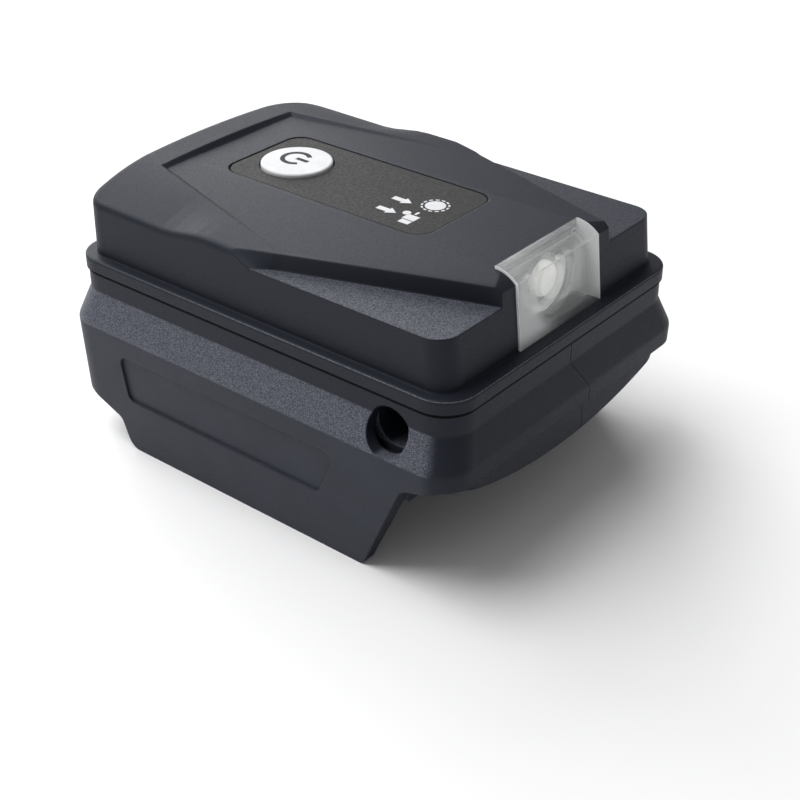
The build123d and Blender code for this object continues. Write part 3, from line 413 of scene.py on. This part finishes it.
def simple_finish(name, colour, roughness, grain, depth, metallic=0.0, share=0.1):
    """A finish with patchy colour, uneven roughness and a fine bump."""
    material, tree, shader = start_material(name, colour, roughness, metallic)
    varied_colour(tree, shader, colour, grain * COLOUR_PATCH, share)
    dull = min(1, roughness * (1 + GLOSS_SHARE))
    uneven = patchy(tree, noise(tree, grain * GLOSS_PATCH), roughness * (1 - GLOSS_SHARE), dull)
    join(tree, uneven, shader.inputs["Roughness"])
    bump(tree, shader, noise(tree, grain), depth)
    return material


FIXED_FINISHES = {
    "bright_ring": dict(
        colour=(0.7, 0.71, 0.7), roughness=0.3, grain=mm(0.3), depth=mm(0.004)),
    "lamp_board_mask": dict(
        colour=(0.1, 0.13, 0.11), roughness=0.45, grain=mm(0.4), depth=mm(0.004)),
    "power_ink": dict(
        colour=(0.008, 0.008, 0.01), roughness=0.7, grain=mm(0.1), depth=mm(0.003)),
    "switch_black": dict(
        colour=(0.02, 0.02, 0.021), roughness=0.45, grain=mm(0.15), depth=mm(0.004)),
    "socket_white": dict(
        colour=(0.74, 0.74, 0.72), roughness=0.4, grain=mm(0.2), depth=mm(0.004)),
    "terminal_black": dict(
        colour=(0.022, 0.022, 0.024), roughness=0.42, grain=mm(0.3), depth=mm(0.008)),
    "positive_insulation": dict(
        colour=(0.4, 0.012, 0.01), roughness=0.45, grain=mm(0.3), depth=mm(0.006)),
    "negative_insulation": dict(
        colour=(0.012, 0.012, 0.013), roughness=0.45, grain=mm(0.3), depth=mm(0.006)),
    "chip_resin": dict(
        colour=(0.018, 0.018, 0.02), roughness=0.6, grain=mm(0.12), depth=mm(0.006)),
    "capacitor_sleeve": dict(
        colour=(0.012, 0.02, 0.05), roughness=0.3, grain=mm(0.5), depth=mm(0.006)),
    "ferrite": dict(
        colour=(0.045, 0.045, 0.05), roughness=0.7, grain=mm(0.2), depth=mm(0.015)),
    "zinc_plate": dict(
        colour=(0.5, 0.5, 0.52), roughness=0.32, grain=mm(0.2), depth=mm(0.004), metallic=1.0),
}


def fixed_finish(name):
    """One of the finishes whose colour isn't among the looks."""
    return simple_finish(name, **FIXED_FINISHES[name])


PLASTIC_SPECULAR = 0.22
PLASTIC_TINT = (0.84, 0.9, 1)
PLASTIC_PATCH = mm(9)
PLASTIC_SHARE = 0.07
SHELF_REACH = mm(0.12)
SHOULDER_SOFT = mm(0.25)
SHELF_SOFT = mm(0.05)
SKIRT_SOFT = mm(0.5)
SEAM_SOFT = mm(0.03)
SEAM_DULLNESS = 0.4
COARSE_SHINE = -0.08
SPECKLE_CHANGE = 0.06
SPECKLE_SCALE = 1.6
SPARKLE_SPAN = (0.36, 0.7)
LEAST_SPARKLE = 0.12
GRAIN_SPAN = (0.35, 0.65)
FRONT_CORNER = (0.1, 0.45)
REAR_CORNER = (-0.85, -0.5)
LEVEL_FACE = (0.85, 0.95)
SHELF_SPLIT = (mm(-5), mm(5))
# The near shelf gets more coarse grain and more painted glints than the far one, as painted light
NEAR_SHELF_GRAIN_AND_GLINT = 0.8
FAR_SHELF_GRAIN_AND_GLINT = 0.3


def moulded_plastic(name, look, lit_skirt_colour):
    """Charcoal plastic: fine grain on the walls, coarse grain with painted glints on the shoulder and the
    shelves, painted floor light on the base's lower long sides, a painted highlight on the flange's top edge
    and painted shade in the seam.
    """
    material, tree, shader = start_material(name, lit_skirt_colour, look.roughness)
    height = place_along(tree, "Z")
    sideways = side_walls(tree)
    grain_and_glint_area = grain_and_glint_zone(tree, look, height, sideways)
    coarse = noise(tree, look.coarse_size, 3)
    seam = band(tree, height, look.seam_low, look.seam_high, SEAM_SOFT)

    skirt = varied_colour(tree, shader, lit_skirt_colour, PLASTIC_PATCH, PLASTIC_SHARE)
    below_shoulder = ranged(
        tree, height, look.shoulder_high - SKIRT_SOFT, look.shoulder_high + SKIRT_SOFT, 1, 0)
    # Painted floor light: the base's long sides below the shoulder are paler than the rest
    plain = blend_colours(tree, look.colour, skirt, product(tree, below_shoulder, sideways))
    # Painted glints: the coarse grain's lighter grains on the shoulder's long sides and on the shelves take a
    # pale colour
    sparkle = product(tree, ranged(tree, coarse, *SPARKLE_SPAN, LEAST_SPARKLE, 1), grain_and_glint_area)
    glinted = blend_colours(tree, plain, look.glint_colour, sparkle)
    # Painted highlight on the flange's top edge
    highlit = blend_colours(tree, glinted, look.highlight_colour, flange_highlight(tree, look, height))
    # Painted shade darkens the groove between the cover and the base
    shaded = blend_colours(tree, highlit, look.seam_shade_colour, seam)
    join(tree, shaded, shader.inputs["Base Color"])

    fine = bump(tree, shader, noise(tree, look.grain_size, 3), look.grain_depth, look.edge_round)
    coarse_height = product(tree, ranged(tree, coarse, *GRAIN_SPAN, 0, 1), grain_and_glint_area)
    bump(tree, shader, coarse_height, look.coarse_depth, below=fine)

    speckle = ranged(
        tree, noise(tree, look.grain_size * SPECKLE_SCALE, 1), *GRAIN_SPAN,
        -SPECKLE_CHANGE, SPECKLE_CHANGE)
    sheen_change = calculate(
        tree, "ADD", product(tree, grain_and_glint_area, COARSE_SHINE), product(tree, seam, SEAM_DULLNESS))
    uneven = calculate(tree, "ADD", calculate(tree, "ADD", speckle, sheen_change), look.roughness)
    join(tree, uneven, shader.inputs["Roughness"])
    shader.inputs["Specular IOR Level"].default_value = PLASTIC_SPECULAR
    shader.inputs["Specular Tint"].default_value = (*PLASTIC_TINT, 1)
    return material


def side_walls(tree):
    """1 on the two long sides, fading out round the corners to the front and the rear."""
    forward = facing(tree, "X")
    return product(
        tree, ranged(tree, forward, *FRONT_CORNER, 1, 0), ranged(tree, forward, *REAR_CORNER, 0, 1))


def grain_and_glint_zone(tree, look, height, sideways):
    """1 where the coarse grain and its painted glints lie: along the shoulder and on the level shelves, most
    on the near one as painted light.
    """
    shoulder = band(tree, height, look.shoulder_low, look.shoulder_high, SHOULDER_SOFT)
    shelf = band(
        tree, height, look.shelf_height - SHELF_REACH, look.shelf_height + SHELF_REACH, SHELF_SOFT)
    level = ranged(tree, facing(tree, "Z"), *LEVEL_FACE, 0, 1)
    across = place_along(tree, "Y")
    near_shelf_grain_and_glint = ranged(tree, across, *SHELF_SPLIT, NEAR_SHELF_GRAIN_AND_GLINT, FAR_SHELF_GRAIN_AND_GLINT)
    return calculate(
        tree, "MAXIMUM", product(tree, shoulder, sideways), product(tree, shelf, level, near_shelf_grain_and_glint))


# Painted highlight on the flange: the facing it lies on, its height margin, its dots and its fading to the
# rear
TURNING_FACE = (0.62, 0.82)
TURNING_SOFT = 0.06
FLANGE_MARGIN = mm(0.1)
FLANGE_SOFT = mm(0.05)
DOTTED_SPAN = (0.35, 0.6)
FAINTEST_DOT = 0.35
REAR_TO_FRONT = (mm(-45), mm(5))
REAR_HIGHLIGHT = 0.3


def flange_highlight(tree, look, height):
    """1 on the painted highlight where the flange's top rounds over into its side, broken into dots and
    fainter to the rear.
    """
    turning = band(tree, facing(tree, "Z"), *TURNING_FACE, TURNING_SOFT)
    foot, top = look.ledge_height - look.edge_width, look.ledge_height + FLANGE_MARGIN
    flange = band(tree, height, foot, top, FLANGE_SOFT)
    dotted_highlight = ranged(tree, noise(tree, look.coarse_size * 2), *DOTTED_SPAN, FAINTEST_DOT, 1)
    forward = ranged(tree, place_along(tree, "X"), *REAR_TO_FRONT, REAR_HIGHLIGHT, 1)
    return product(tree, turning, flange, dotted_highlight, forward)


def dress(node_name, material):
    """Gives a packed piece one finish."""
    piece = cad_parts[node_name]
    piece.data.materials.clear()
    piece.data.materials.append(material)


def flat_piece(name, loops, low, thickness, material, body):
    """A thin flat piece: each loop of XY points becomes a plate."""
    mesh = bpy.data.meshes.new(name)
    shape = bmesh.new()
    for loop in loops:
        corners = [shape.verts.new((x, y, low)) for x, y in loop]
        face = shape.faces.new(corners)
        raised = bmesh.ops.extrude_face_region(shape, geom=[face])["geom"]
        moved = [item for item in raised if isinstance(item, bmesh.types.BMVert)]
        bmesh.ops.translate(shape, verts=moved, vec=(0, 0, thickness))
    bmesh.ops.recalc_face_normals(shape, faces=shape.faces)
    shape.to_mesh(mesh)
    shape.free()
    mesh.materials.append(material)
    piece = bpy.data.objects.new(name, mesh)
    bpy.context.scene.collection.objects.link(piece)
    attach(piece, body)


def arc(centre, radius, angles):
    """Points at one distance from a centre."""
    return [(centre[0] + radius * math.cos(a), centre[1] + radius * math.sin(a)) for a in angles]


def ring_part(centre, outer, inner, start, end, steps):
    """Points of a ring's stretch between two angles."""
    angles = [start + (end - start) * step / steps for step in range(steps + 1)]
    return arc(centre, outer, angles) + arc(centre, inner, reversed(angles))


def disc(centre, radius, steps=40):
    """Points of a circle."""
    return arc(centre, radius, [2 * math.pi * step / steps for step in range(steps)])


def bar(low_x, high_x, middle_y, width):
    """Points of a straight stroke along X."""
    low_y, high_y = middle_y - width / 2, middle_y + width / 2
    return [(low_x, low_y), (high_x, low_y), (high_x, high_y), (low_x, high_y)]


SEAM_TONGUES = {"rear": (mm(-44.9), mm(-43.9)), "front": (mm(43.9), mm(44.9))}
TONGUE_LOW = mm(26)
TONGUE_HEIGHT = mm(9.6)
TONGUE_MIDDLE = mm(0.06)
TONGUE_THICKNESS = mm(0.1)


class FinishHousing(bpy.types.Operator):
    """Finish the cover and both halves of the base, and close the halves' seam with its tongues"""

    bl_idname = "adapter.finish_housing"
    bl_label = "Finish Housing"

    def execute(self, context):
        look = context.scene.adapter_housing
        dress("top_cover", moulded_plastic("cover_plastic", look, look.colour))
        # The base halves carry the painted floor light on their lower long sides
        base = moulded_plastic("base_plastic", look, look.skirt_light_colour)
        dress("lower_housing_right", base)
        dress("lower_housing_left", base)
        for end, (low_x, high_x) in SEAM_TONGUES.items():
            outline = bar(low_x, high_x, TONGUE_MIDDLE, TONGUE_THICKNESS)
            flat_piece(
                f"seam_tongue_{end}", [outline], TONGUE_LOW, TONGUE_HEIGHT, base,
                "housing")
        return {"FINISHED"}


# Colour of the painted glow on the ring round the unlit lamp
RING_PAINTED_GLOW_COLOUR = (0.7, 0.71, 0.68)


class FinishWindow(bpy.types.Operator):
    """Finish the clear window and the lamp behind it"""

    bl_idname = "adapter.finish_window"
    bl_label = "Finish Window and Lamp"

    def execute(self, context):
        look = context.scene.adapter_window
        dress("light_window", clear_plastic(look))
        dress("work_lamp", lamp_lens(look))
        ring = fixed_finish("bright_ring")
        paint_glow(shader_of(ring), RING_PAINTED_GLOW_COLOUR, look.ring_painted_glow)
        dress("lamp_reflector", ring)
        dress("lamp_board", fixed_finish("lamp_board_mask"))
        return {"FINISHED"}


def paint_glow(shader, colour, strength):
    """A faint even painted glow on a pale piece behind the window, standing in for the light that comes in
    through it.
    """
    shader.inputs["Emission Color"].default_value = (*colour, 1)
    shader.inputs["Emission Strength"].default_value = strength


WINDOW_TRANSMISSION = 0.9
WINDOW_IOR = 1.49
RIPPLE_SIZE = mm(2.5)
RIPPLE_DEPTH = mm(0.0004)
# One white for the haze, the painted light and the painted highlights of the window
HAZE_AND_PAINTED_LIGHT_COLOUR = (0.9, 0.91, 0.92)
RIM_HIGHLIGHT_SHARE = 0.95
SIDE_RIM = (1.3, 0.7)
REAR_RIM = (3, 4.5)
ROLL_HIGHLIGHT_SHARE = 0.3
ROLL_REACH = mm(0.2)
ROLL_SOFT = mm(0.1)
# Where the painted light on the window's near side lies, and where it leaves the lamp clear
CLEAR_RADIUS = (mm(5), mm(8.5))
NEAR_LIGHT_ACROSS = (mm(-8), mm(5))
NEAR_LIGHT_HEIGHT = (mm(-6), mm(5))
NEAR_LIGHT_HIGH = 0.2


def clear_plastic(look):
    """Clear moulded plastic with an even milky haze, painted light low on the near side and painted
    highlights on its cut edges.
    """
    material, tree, shader = start_material("clear_plastic", look.tint, look.frost)
    shader.inputs["Transmission Weight"].default_value = WINDOW_TRANSMISSION
    shader.inputs["IOR"].default_value = WINDOW_IOR
    shader.inputs["Alpha"].default_value = look.body
    cloudy = patchy(tree, noise(tree, RIPPLE_SIZE), look.frost * 0.9, look.frost * 1.1)
    join(tree, cloudy, shader.inputs["Roughness"])
    bump(tree, shader, noise(tree, RIPPLE_SIZE), RIPPLE_DEPTH)

    # A white diffuse layer carries the even haze, the painted light and the painted highlights
    bright = add_node(tree, "ShaderNodeBsdfDiffuse")
    bright.inputs["Color"].default_value = (*HAZE_AND_PAINTED_LIGHT_COLOUR, 1)
    blend = add_node(tree, "ShaderNodeMixShader")
    rim = product(tree, rim_highlights(tree, look), RIM_HIGHLIGHT_SHARE)
    join(tree, calculate(tree, "MAXIMUM", rim, haze_and_painted_light(tree, look)), blend.inputs["Fac"])
    join(tree, shader.outputs["BSDF"], blend.inputs[1])
    join(tree, bright.outputs["BSDF"], blend.inputs[2])
    join(tree, blend.outputs["Shader"], tree.nodes["Material Output"].inputs["Surface"])
    return material


def rim_highlights(tree, look):
    """1 where highlights are painted on the window's cut edges at its sides and rear, less on the roll of its
    top.
    """
    low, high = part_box("light_window")
    side = calculate(tree, "ABSOLUTE", place_along(tree, "Y"))
    side_start, side_full = [high.y - look.rim_highlight_width * share for share in SIDE_RIM]
    side_rim = ranged(tree, side, side_start, side_full, 0, 1)
    rear_full, rear_end = [low.x + look.rim_highlight_width * share for share in REAR_RIM]
    rear_rim = ranged(tree, place_along(tree, "X"), rear_full, rear_end, 1, 0)
    roll = band(
        tree, place_along(tree, "Z"), look.roll_highlight_height - ROLL_REACH, look.roll_highlight_height + ROLL_REACH,
        ROLL_SOFT)
    edges = calculate(tree, "MAXIMUM", side_rim, rear_rim)
    return calculate(tree, "MAXIMUM", edges, product(tree, roll, ROLL_HIGHLIGHT_SHARE))


def haze_and_painted_light(tree, look):
    """An even milky haze, and painted light low on the near side that leaves the lamp clear."""
    across = place_along(tree, "Y")
    above = calculate(tree, "SUBTRACT", place_along(tree, "Z"), look.lamp_height)
    squares = calculate(tree, "ADD", product(tree, across, across), product(tree, above, above))
    round_lamp = ranged(tree, calculate(tree, "SQRT", squares), *CLEAR_RADIUS, 0, 1)
    low_near_light = product(
        tree, ranged(tree, across, *NEAR_LIGHT_ACROSS, 1, 0),
        ranged(tree, above, *NEAR_LIGHT_HEIGHT, 1, NEAR_LIGHT_HIGH))
    return calculate(tree, "ADD", product(tree, low_near_light, round_lamp, look.painted_near_light), look.haze)


LENS_ROUGHNESS = 0.25
LENS_SCATTER = 0.3
LENS_SCATTER_DEPTH = mm(0.8)


def lamp_lens(look):
    """Milky lens of the unlit lamp, with a painted glow."""
    material, tree, shader = start_material("lamp_lens", look.lamp_colour, LENS_ROUGHNESS)
    varied_colour(tree, shader, look.lamp_colour, size=mm(1.5), share=0.06)
    shader.inputs["Subsurface Weight"].default_value = LENS_SCATTER
    shader.inputs["Subsurface Scale"].default_value = LENS_SCATTER_DEPTH
    paint_glow(shader, look.lamp_colour, look.lamp_painted_glow)
    bump(tree, shader, noise(tree, mm(0.5)), depth=mm(0.01))
    return material


FILM_SPECULAR = 0.2
ARROW_STARTS = ((mm(5.8), mm(-0.6)), (mm(6.2), mm(-5.6)))
ARROW_HEAD_SHARE = 0.75
LAMP_MARK_CENTRE = (mm(14.1), mm(1.3))
TICK_INNER = 0.87
TICK_LENGTH = 0.62
LAMP_DISC = 0.72
TORCH_CENTRE = (mm(13.9), mm(-5.2))


class FinishLabel(bpy.types.Operator):
    """Finish the label film and print its marks"""

    bl_idname = "adapter.finish_label"
    bl_label = "Finish Label"

    def execute(self, context):
        look = context.scene.adapter_label
        film = simple_finish(
            "label_film", look.film_colour, roughness=0.58, grain=mm(0.12), depth=mm(0.004), share=0.05)
        shader_of(film).inputs["Specular IOR Level"].default_value = FILM_SPECULAR
        dress("label_panel", film)
        ink = simple_finish(
            "print_ink", look.ink_colour, roughness=0.5, grain=mm(0.1), depth=mm(0.003), share=0.04)
        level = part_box("label_panel")[1].z
        for name, loops in label_marks(look).items():
            flat_piece(name, loops, level, look.ink_thickness, ink, "housing")
        return {"FINISHED"}


def label_marks(look):
    """Outlines of the printed marks: two arrows, a ticked lamp and a small torch."""
    marks = {f"arrow_mark_{number}": [arrow(start, look)] for number, start in enumerate(ARROW_STARTS, 1)}
    marks["lamp_mark"] = lamp_mark(look)
    marks["torch_mark"] = torch(TORCH_CENTRE)
    return marks


def lamp_mark(look):
    """Outlines of a disc with a ring of ticks."""
    outer = look.lamp_mark_radius
    step = 2 * math.pi / look.tick_count
    ticks = [ring_part(LAMP_MARK_CENTRE, outer, outer * TICK_INNER, n * step, (n + TICK_LENGTH) * step, 4)
             for n in range(look.tick_count)]
    return [disc(LAMP_MARK_CENTRE, outer * LAMP_DISC)] + ticks


def arrow(start, look):
    """Outline of one arrow that points along +X."""
    x, y = start
    tip_x = x + look.arrow_length
    neck_x = tip_x - look.arrow_head * ARROW_HEAD_SHARE
    half, wing = look.arrow_shaft / 2, look.arrow_head / 2
    return [(x, y - half), (neck_x, y - half), (neck_x, y - wing), (tip_x, y),
            (neck_x, y + wing), (neck_x, y + half), (x, y + half)]


def torch(centre):
    """Outlines of a hand torch: grip, body, lamp head and beam."""
    x, y = centre
    grip = bar(x - mm(1.05), x + mm(1.25), y - mm(2.25), mm(1.4))
    body = bar(x - mm(1.4), x + mm(1.3), y - mm(0.3), mm(2.0))
    head = disc((x - mm(1.95), y + mm(0.9)), mm(0.8), 24)
    beam = bar(x - mm(0.5), x, y + mm(1.75), mm(1.2))
    return [grip, body, head, beam]


CAP_SPECULAR = 0.3
MARK_SHIFT = mm(-0.9)
MARK_Y = mm(0.75)
MARK_THICKNESS = mm(0.02)
STROKE_START = mm(0.2)


class FinishButton(bpy.types.Operator):
    """Finish the push button, its power mark and the switch under it"""

    bl_idname = "adapter.finish_button"
    bl_label = "Finish Button"

    def execute(self, context):
        look = context.scene.adapter_button
        white = simple_finish(
            "button_white", look.colour, roughness=0.48, grain=mm(0.25), depth=mm(0.003), share=0.03)
        shader_of(white).inputs["Specular IOR Level"].default_value = CAP_SPECULAR
        dress("power_button", white)
        low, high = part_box("power_button")
        centre = ((low.x + high.x) / 2 + MARK_SHIFT, MARK_Y)
        ink = fixed_finish("power_ink")
        flat_piece(
            "power_mark", power_mark(centre, look), high.z, MARK_THICKNESS, ink, "button")
        black = fixed_finish("switch_black")
        dress("switch_body", black)
        dress("switch_stem", black)
        dress("switch_cover", plated_steel(context.scene.adapter_inner.steel_colour))
        return {"FINISHED"}


def power_mark(centre, look):
    """Outlines of the open ring and its stroke."""
    outer, gap = look.mark_radius, look.mark_gap
    ring = ring_part(centre, outer, outer - look.mark_stroke, gap, 2 * math.pi - gap, 48)
    stroke = bar(centre[0] + STROKE_START, centre[0] + outer, centre[1], look.mark_stroke)
    return [ring, stroke]


STEEL_ROUGHNESS = (0.2, 0.36)
LINE_STRETCH = (0.08, 1, 1)


def plated_steel(colour):
    """Bright plated sheet with faint drawing lines."""
    material, tree, shader = start_material("plated_steel", colour, roughness=0.28, metallic=1.0)
    lines = noise(tree, size=mm(0.15), stretch=LINE_STRETCH)
    varied_colour(tree, shader, colour, size=mm(3), share=0.06)
    join(tree, patchy(tree, lines, *STEEL_ROUGHNESS), shader.inputs["Roughness"])
    bump(tree, shader, lines, depth=mm(0.002))
    return material


class FinishSockets(bpy.types.Operator):
    """Finish both USB sockets: shell, tongue and contacts"""

    bl_idname = "adapter.finish_sockets"
    bl_label = "Finish USB Sockets"

    def execute(self, context):
        look = context.scene.adapter_inner
        steel = plated_steel(look.steel_colour)
        white = fixed_finish("socket_white")
        brass = simple_finish(
            "contact_brass", look.brass_colour, roughness=0.25, grain=mm(0.15), depth=mm(0.002), metallic=1.0)
        for side in ("left", "right"):
            dress(f"usb_shell_{side}", steel)
            dress(f"usb_tongue_{side}", white)
            dress(f"usb_contacts_{side}", brass)
        return {"FINISHED"}


class FinishTerminals(bpy.types.Operator):
    """Finish the terminal block, its blades and the leads"""

    bl_idname = "adapter.finish_terminals"
    bl_label = "Finish Terminals"

    def execute(self, context):
        look = context.scene.adapter_inner
        dress("terminal_block", fixed_finish("terminal_black"))
        brass = simple_finish(
            "terminal_brass", look.brass_colour, roughness=0.3, grain=mm(0.2), depth=mm(0.003), metallic=1.0)
        for pole in ("positive", "negative"):
            dress(f"{pole}_terminal", brass)
            dress(f"{pole}_lead", fixed_finish(f"{pole}_insulation"))
        return {"FINISHED"}


class FinishBoard(bpy.types.Operator):
    """Finish the main board and the converter on it"""

    bl_idname = "adapter.finish_board"
    bl_label = "Finish Board"

    def execute(self, context):
        look = context.scene.adapter_inner
        mask = simple_finish(
            "solder_mask", look.board_colour, roughness=0.3, grain=mm(0.4), depth=mm(0.01), share=0.25)
        dress("main_board", mask)
        resin = fixed_finish("chip_resin")
        dress("converter_chips", resin)
        dress("power_diode", resin)
        sleeve = fixed_finish("capacitor_sleeve")
        dress("input_capacitor", sleeve)
        dress("output_capacitor", sleeve)
        dress("inductor_core", fixed_finish("ferrite"))
        dress("inductor_winding", copper_winding(look.copper_colour))
        return {"FINISHED"}


WIRE_PITCH = mm(0.5)
WIRE_HEIGHT = mm(0.1)


def copper_winding(colour):
    """Enamelled wire wound in even turns up the core."""
    material, tree, shader = start_material("copper_winding", colour, roughness=0.3, metallic=0.8)
    turns = calculate(tree, "SINE", product(tree, place_along(tree, "Z"), 2 * math.pi / WIRE_PITCH))
    varied_colour(tree, shader, colour, size=mm(1.2), share=0.15)
    bump(tree, shader, turns, WIRE_HEIGHT)
    return material


class FinishScrews(bpy.types.Operator):
    """Finish every screw"""

    bl_idname = "adapter.finish_screws"
    bl_label = "Finish Screws"

    def execute(self, context):
        zinc = fixed_finish("zinc_plate")
        for node_name in ("cover_screws", "board_screws", "housing_screw"):
            dress(node_name, zinc)
        return {"FINISHED"}


AIM_HEIGHT = mm(35)
FLOOR_ROUGHNESS = 0.7
FLOOR_SPECULAR = 0.2
SENSOR_WIDTH = 36
NEAREST_VIEW = mm(10)


class BuildStudio(bpy.types.Operator):
    """Lay the floor, hang the lights and set the camera"""

    bl_idname = "adapter.build_studio"
    bl_label = "Build Studio"

    def execute(self, context):
        setup = context.scene.adapter_studio
        lay_floor(setup)
        hang_light("top_light", place=(-0.3, -0.24, 0.82), size=0.6, power=setup.top_power)
        hang_light("back_light", place=(-1.26, 0.56, 0.77), size=1.44, power=setup.back_power)
        hang_light("side_light", place=(-0.35, -0.75, 0.42), size=0.5, power=setup.side_power)
        sky(setup)
        set_camera(setup)
        context.scene.view_settings.view_transform = "Standard"
        return {"FINISHED"}


def lay_floor(setup):
    """A plain pale floor that the skirts stand on."""
    mesh = bpy.data.meshes.new("floor")
    shape = bmesh.new()
    bmesh.ops.create_grid(shape, x_segments=8, y_segments=8, size=setup.floor_size / 2)
    shape.to_mesh(mesh)
    shape.free()
    floor = bpy.data.objects.new("floor", mesh)
    bpy.context.scene.collection.objects.link(floor)
    material, tree, shader = start_material("pale_floor", setup.floor_colour, FLOOR_ROUGHNESS)
    varied_colour(tree, shader, setup.floor_colour, size=0.4, share=0.01)
    shader.inputs["Specular IOR Level"].default_value = FLOOR_SPECULAR
    mesh.materials.append(material)


def hang_light(name, place, size, power):
    """A soft square light that faces the adapter."""
    lamp = bpy.data.lights.new(name, "AREA")
    lamp.energy = power
    lamp.shape = "SQUARE"
    lamp.size = size
    light = bpy.data.objects.new(name, lamp)
    light.location = place
    aim = Vector((0, 0, AIM_HEIGHT)) - Vector(place)
    light.rotation_euler = aim.to_track_quat("-Z", "Y").to_euler()
    bpy.context.scene.collection.objects.link(light)


def sky(setup):
    """Even pale light from all round."""
    world = bpy.data.worlds.new("studio_sky")
    world.use_nodes = True
    background = world.node_tree.nodes["Background"]
    background.inputs["Color"].default_value = (1, 1, 1, 1)
    background.inputs["Strength"].default_value = setup.sky_strength
    bpy.context.scene.world = world


def set_camera(setup):
    """The camera at the photograph's place and angle."""
    a, e = setup.azimuth, setup.elevation
    back = Vector((math.sin(a) * math.cos(e), -math.cos(a) * math.cos(e), math.sin(e)))
    right = Vector((math.cos(a), math.sin(a), 0))
    up = back.cross(right)
    turn = Matrix((right, up, back)).transposed().to_4x4()
    data = bpy.data.cameras.new("photo_camera")
    data.sensor_width = SENSOR_WIDTH
    data.lens = setup.lens
    data.clip_start = NEAREST_VIEW
    camera = bpy.data.objects.new("photo_camera", data)
    camera.matrix_world = Matrix.Translation(Vector(setup.camera_place)) @ turn
    bpy.context.scene.collection.objects.link(camera)
    bpy.context.scene.camera = camera


OPERATORS = (
    FinishHousing, FinishWindow, FinishLabel, FinishButton, FinishSockets, FinishTerminals,
    FinishBoard, FinishScrews, BuildStudio)
LOOKS = {
    "adapter_housing": HousingLook,
    "adapter_window": WindowLook,
    "adapter_label": LabelLook,
    "adapter_button": ButtonLook,
    "adapter_inner": InnerLook,
    "adapter_studio": StudioSetup,
}


class AdapterPanel(bpy.types.Panel):
    """Sizes, colours and steps of the adapter"""

    bl_idname = "VIEW3D_PT_adapter"
    bl_label = "USB Power Adapter"
    bl_space_type = "VIEW_3D"
    bl_region_type = "UI"
    bl_category = "Adapter"

    def draw(self, context):
        for operator in OPERATORS:
            self.layout.operator(operator.bl_idname)
        for name, look in LOOKS.items():
            box = self.layout.box()
            box.label(text=look.__doc__)
            for key in look.__annotations__:
                box.prop(getattr(context.scene, name), key)


def register():
    """Registers the classes and hangs each look on the scene."""
    for look in LOOKS.values():
        bpy.utils.register_class(look)
    for operator in OPERATORS:
        bpy.utils.register_class(operator)
    bpy.utils.register_class(AdapterPanel)
    for name, look in LOOKS.items():
        setattr(bpy.types.Scene, name, PointerProperty(type=look))


def unregister():
    """Takes the looks and the classes away again."""
    for name in LOOKS:
        delattr(bpy.types.Scene, name)
    bpy.utils.unregister_class(AdapterPanel)
    for operator in reversed(OPERATORS):
        bpy.utils.unregister_class(operator)
    for look in reversed(LOOKS.values()):
        bpy.utils.unregister_class(look)


def main():
    """Finishes every piece and builds the studio."""
    register()
    bpy.ops.adapter.finish_housing()
    bpy.ops.adapter.finish_window()
    bpy.ops.adapter.finish_label()
    bpy.ops.adapter.finish_button()
    bpy.ops.adapter.finish_sockets()
    bpy.ops.adapter.finish_terminals()
    bpy.ops.adapter.finish_board()
    bpy.ops.adapter.finish_screws()
    bpy.ops.adapter.build_studio()


if __name__ == "__main__":
    main()
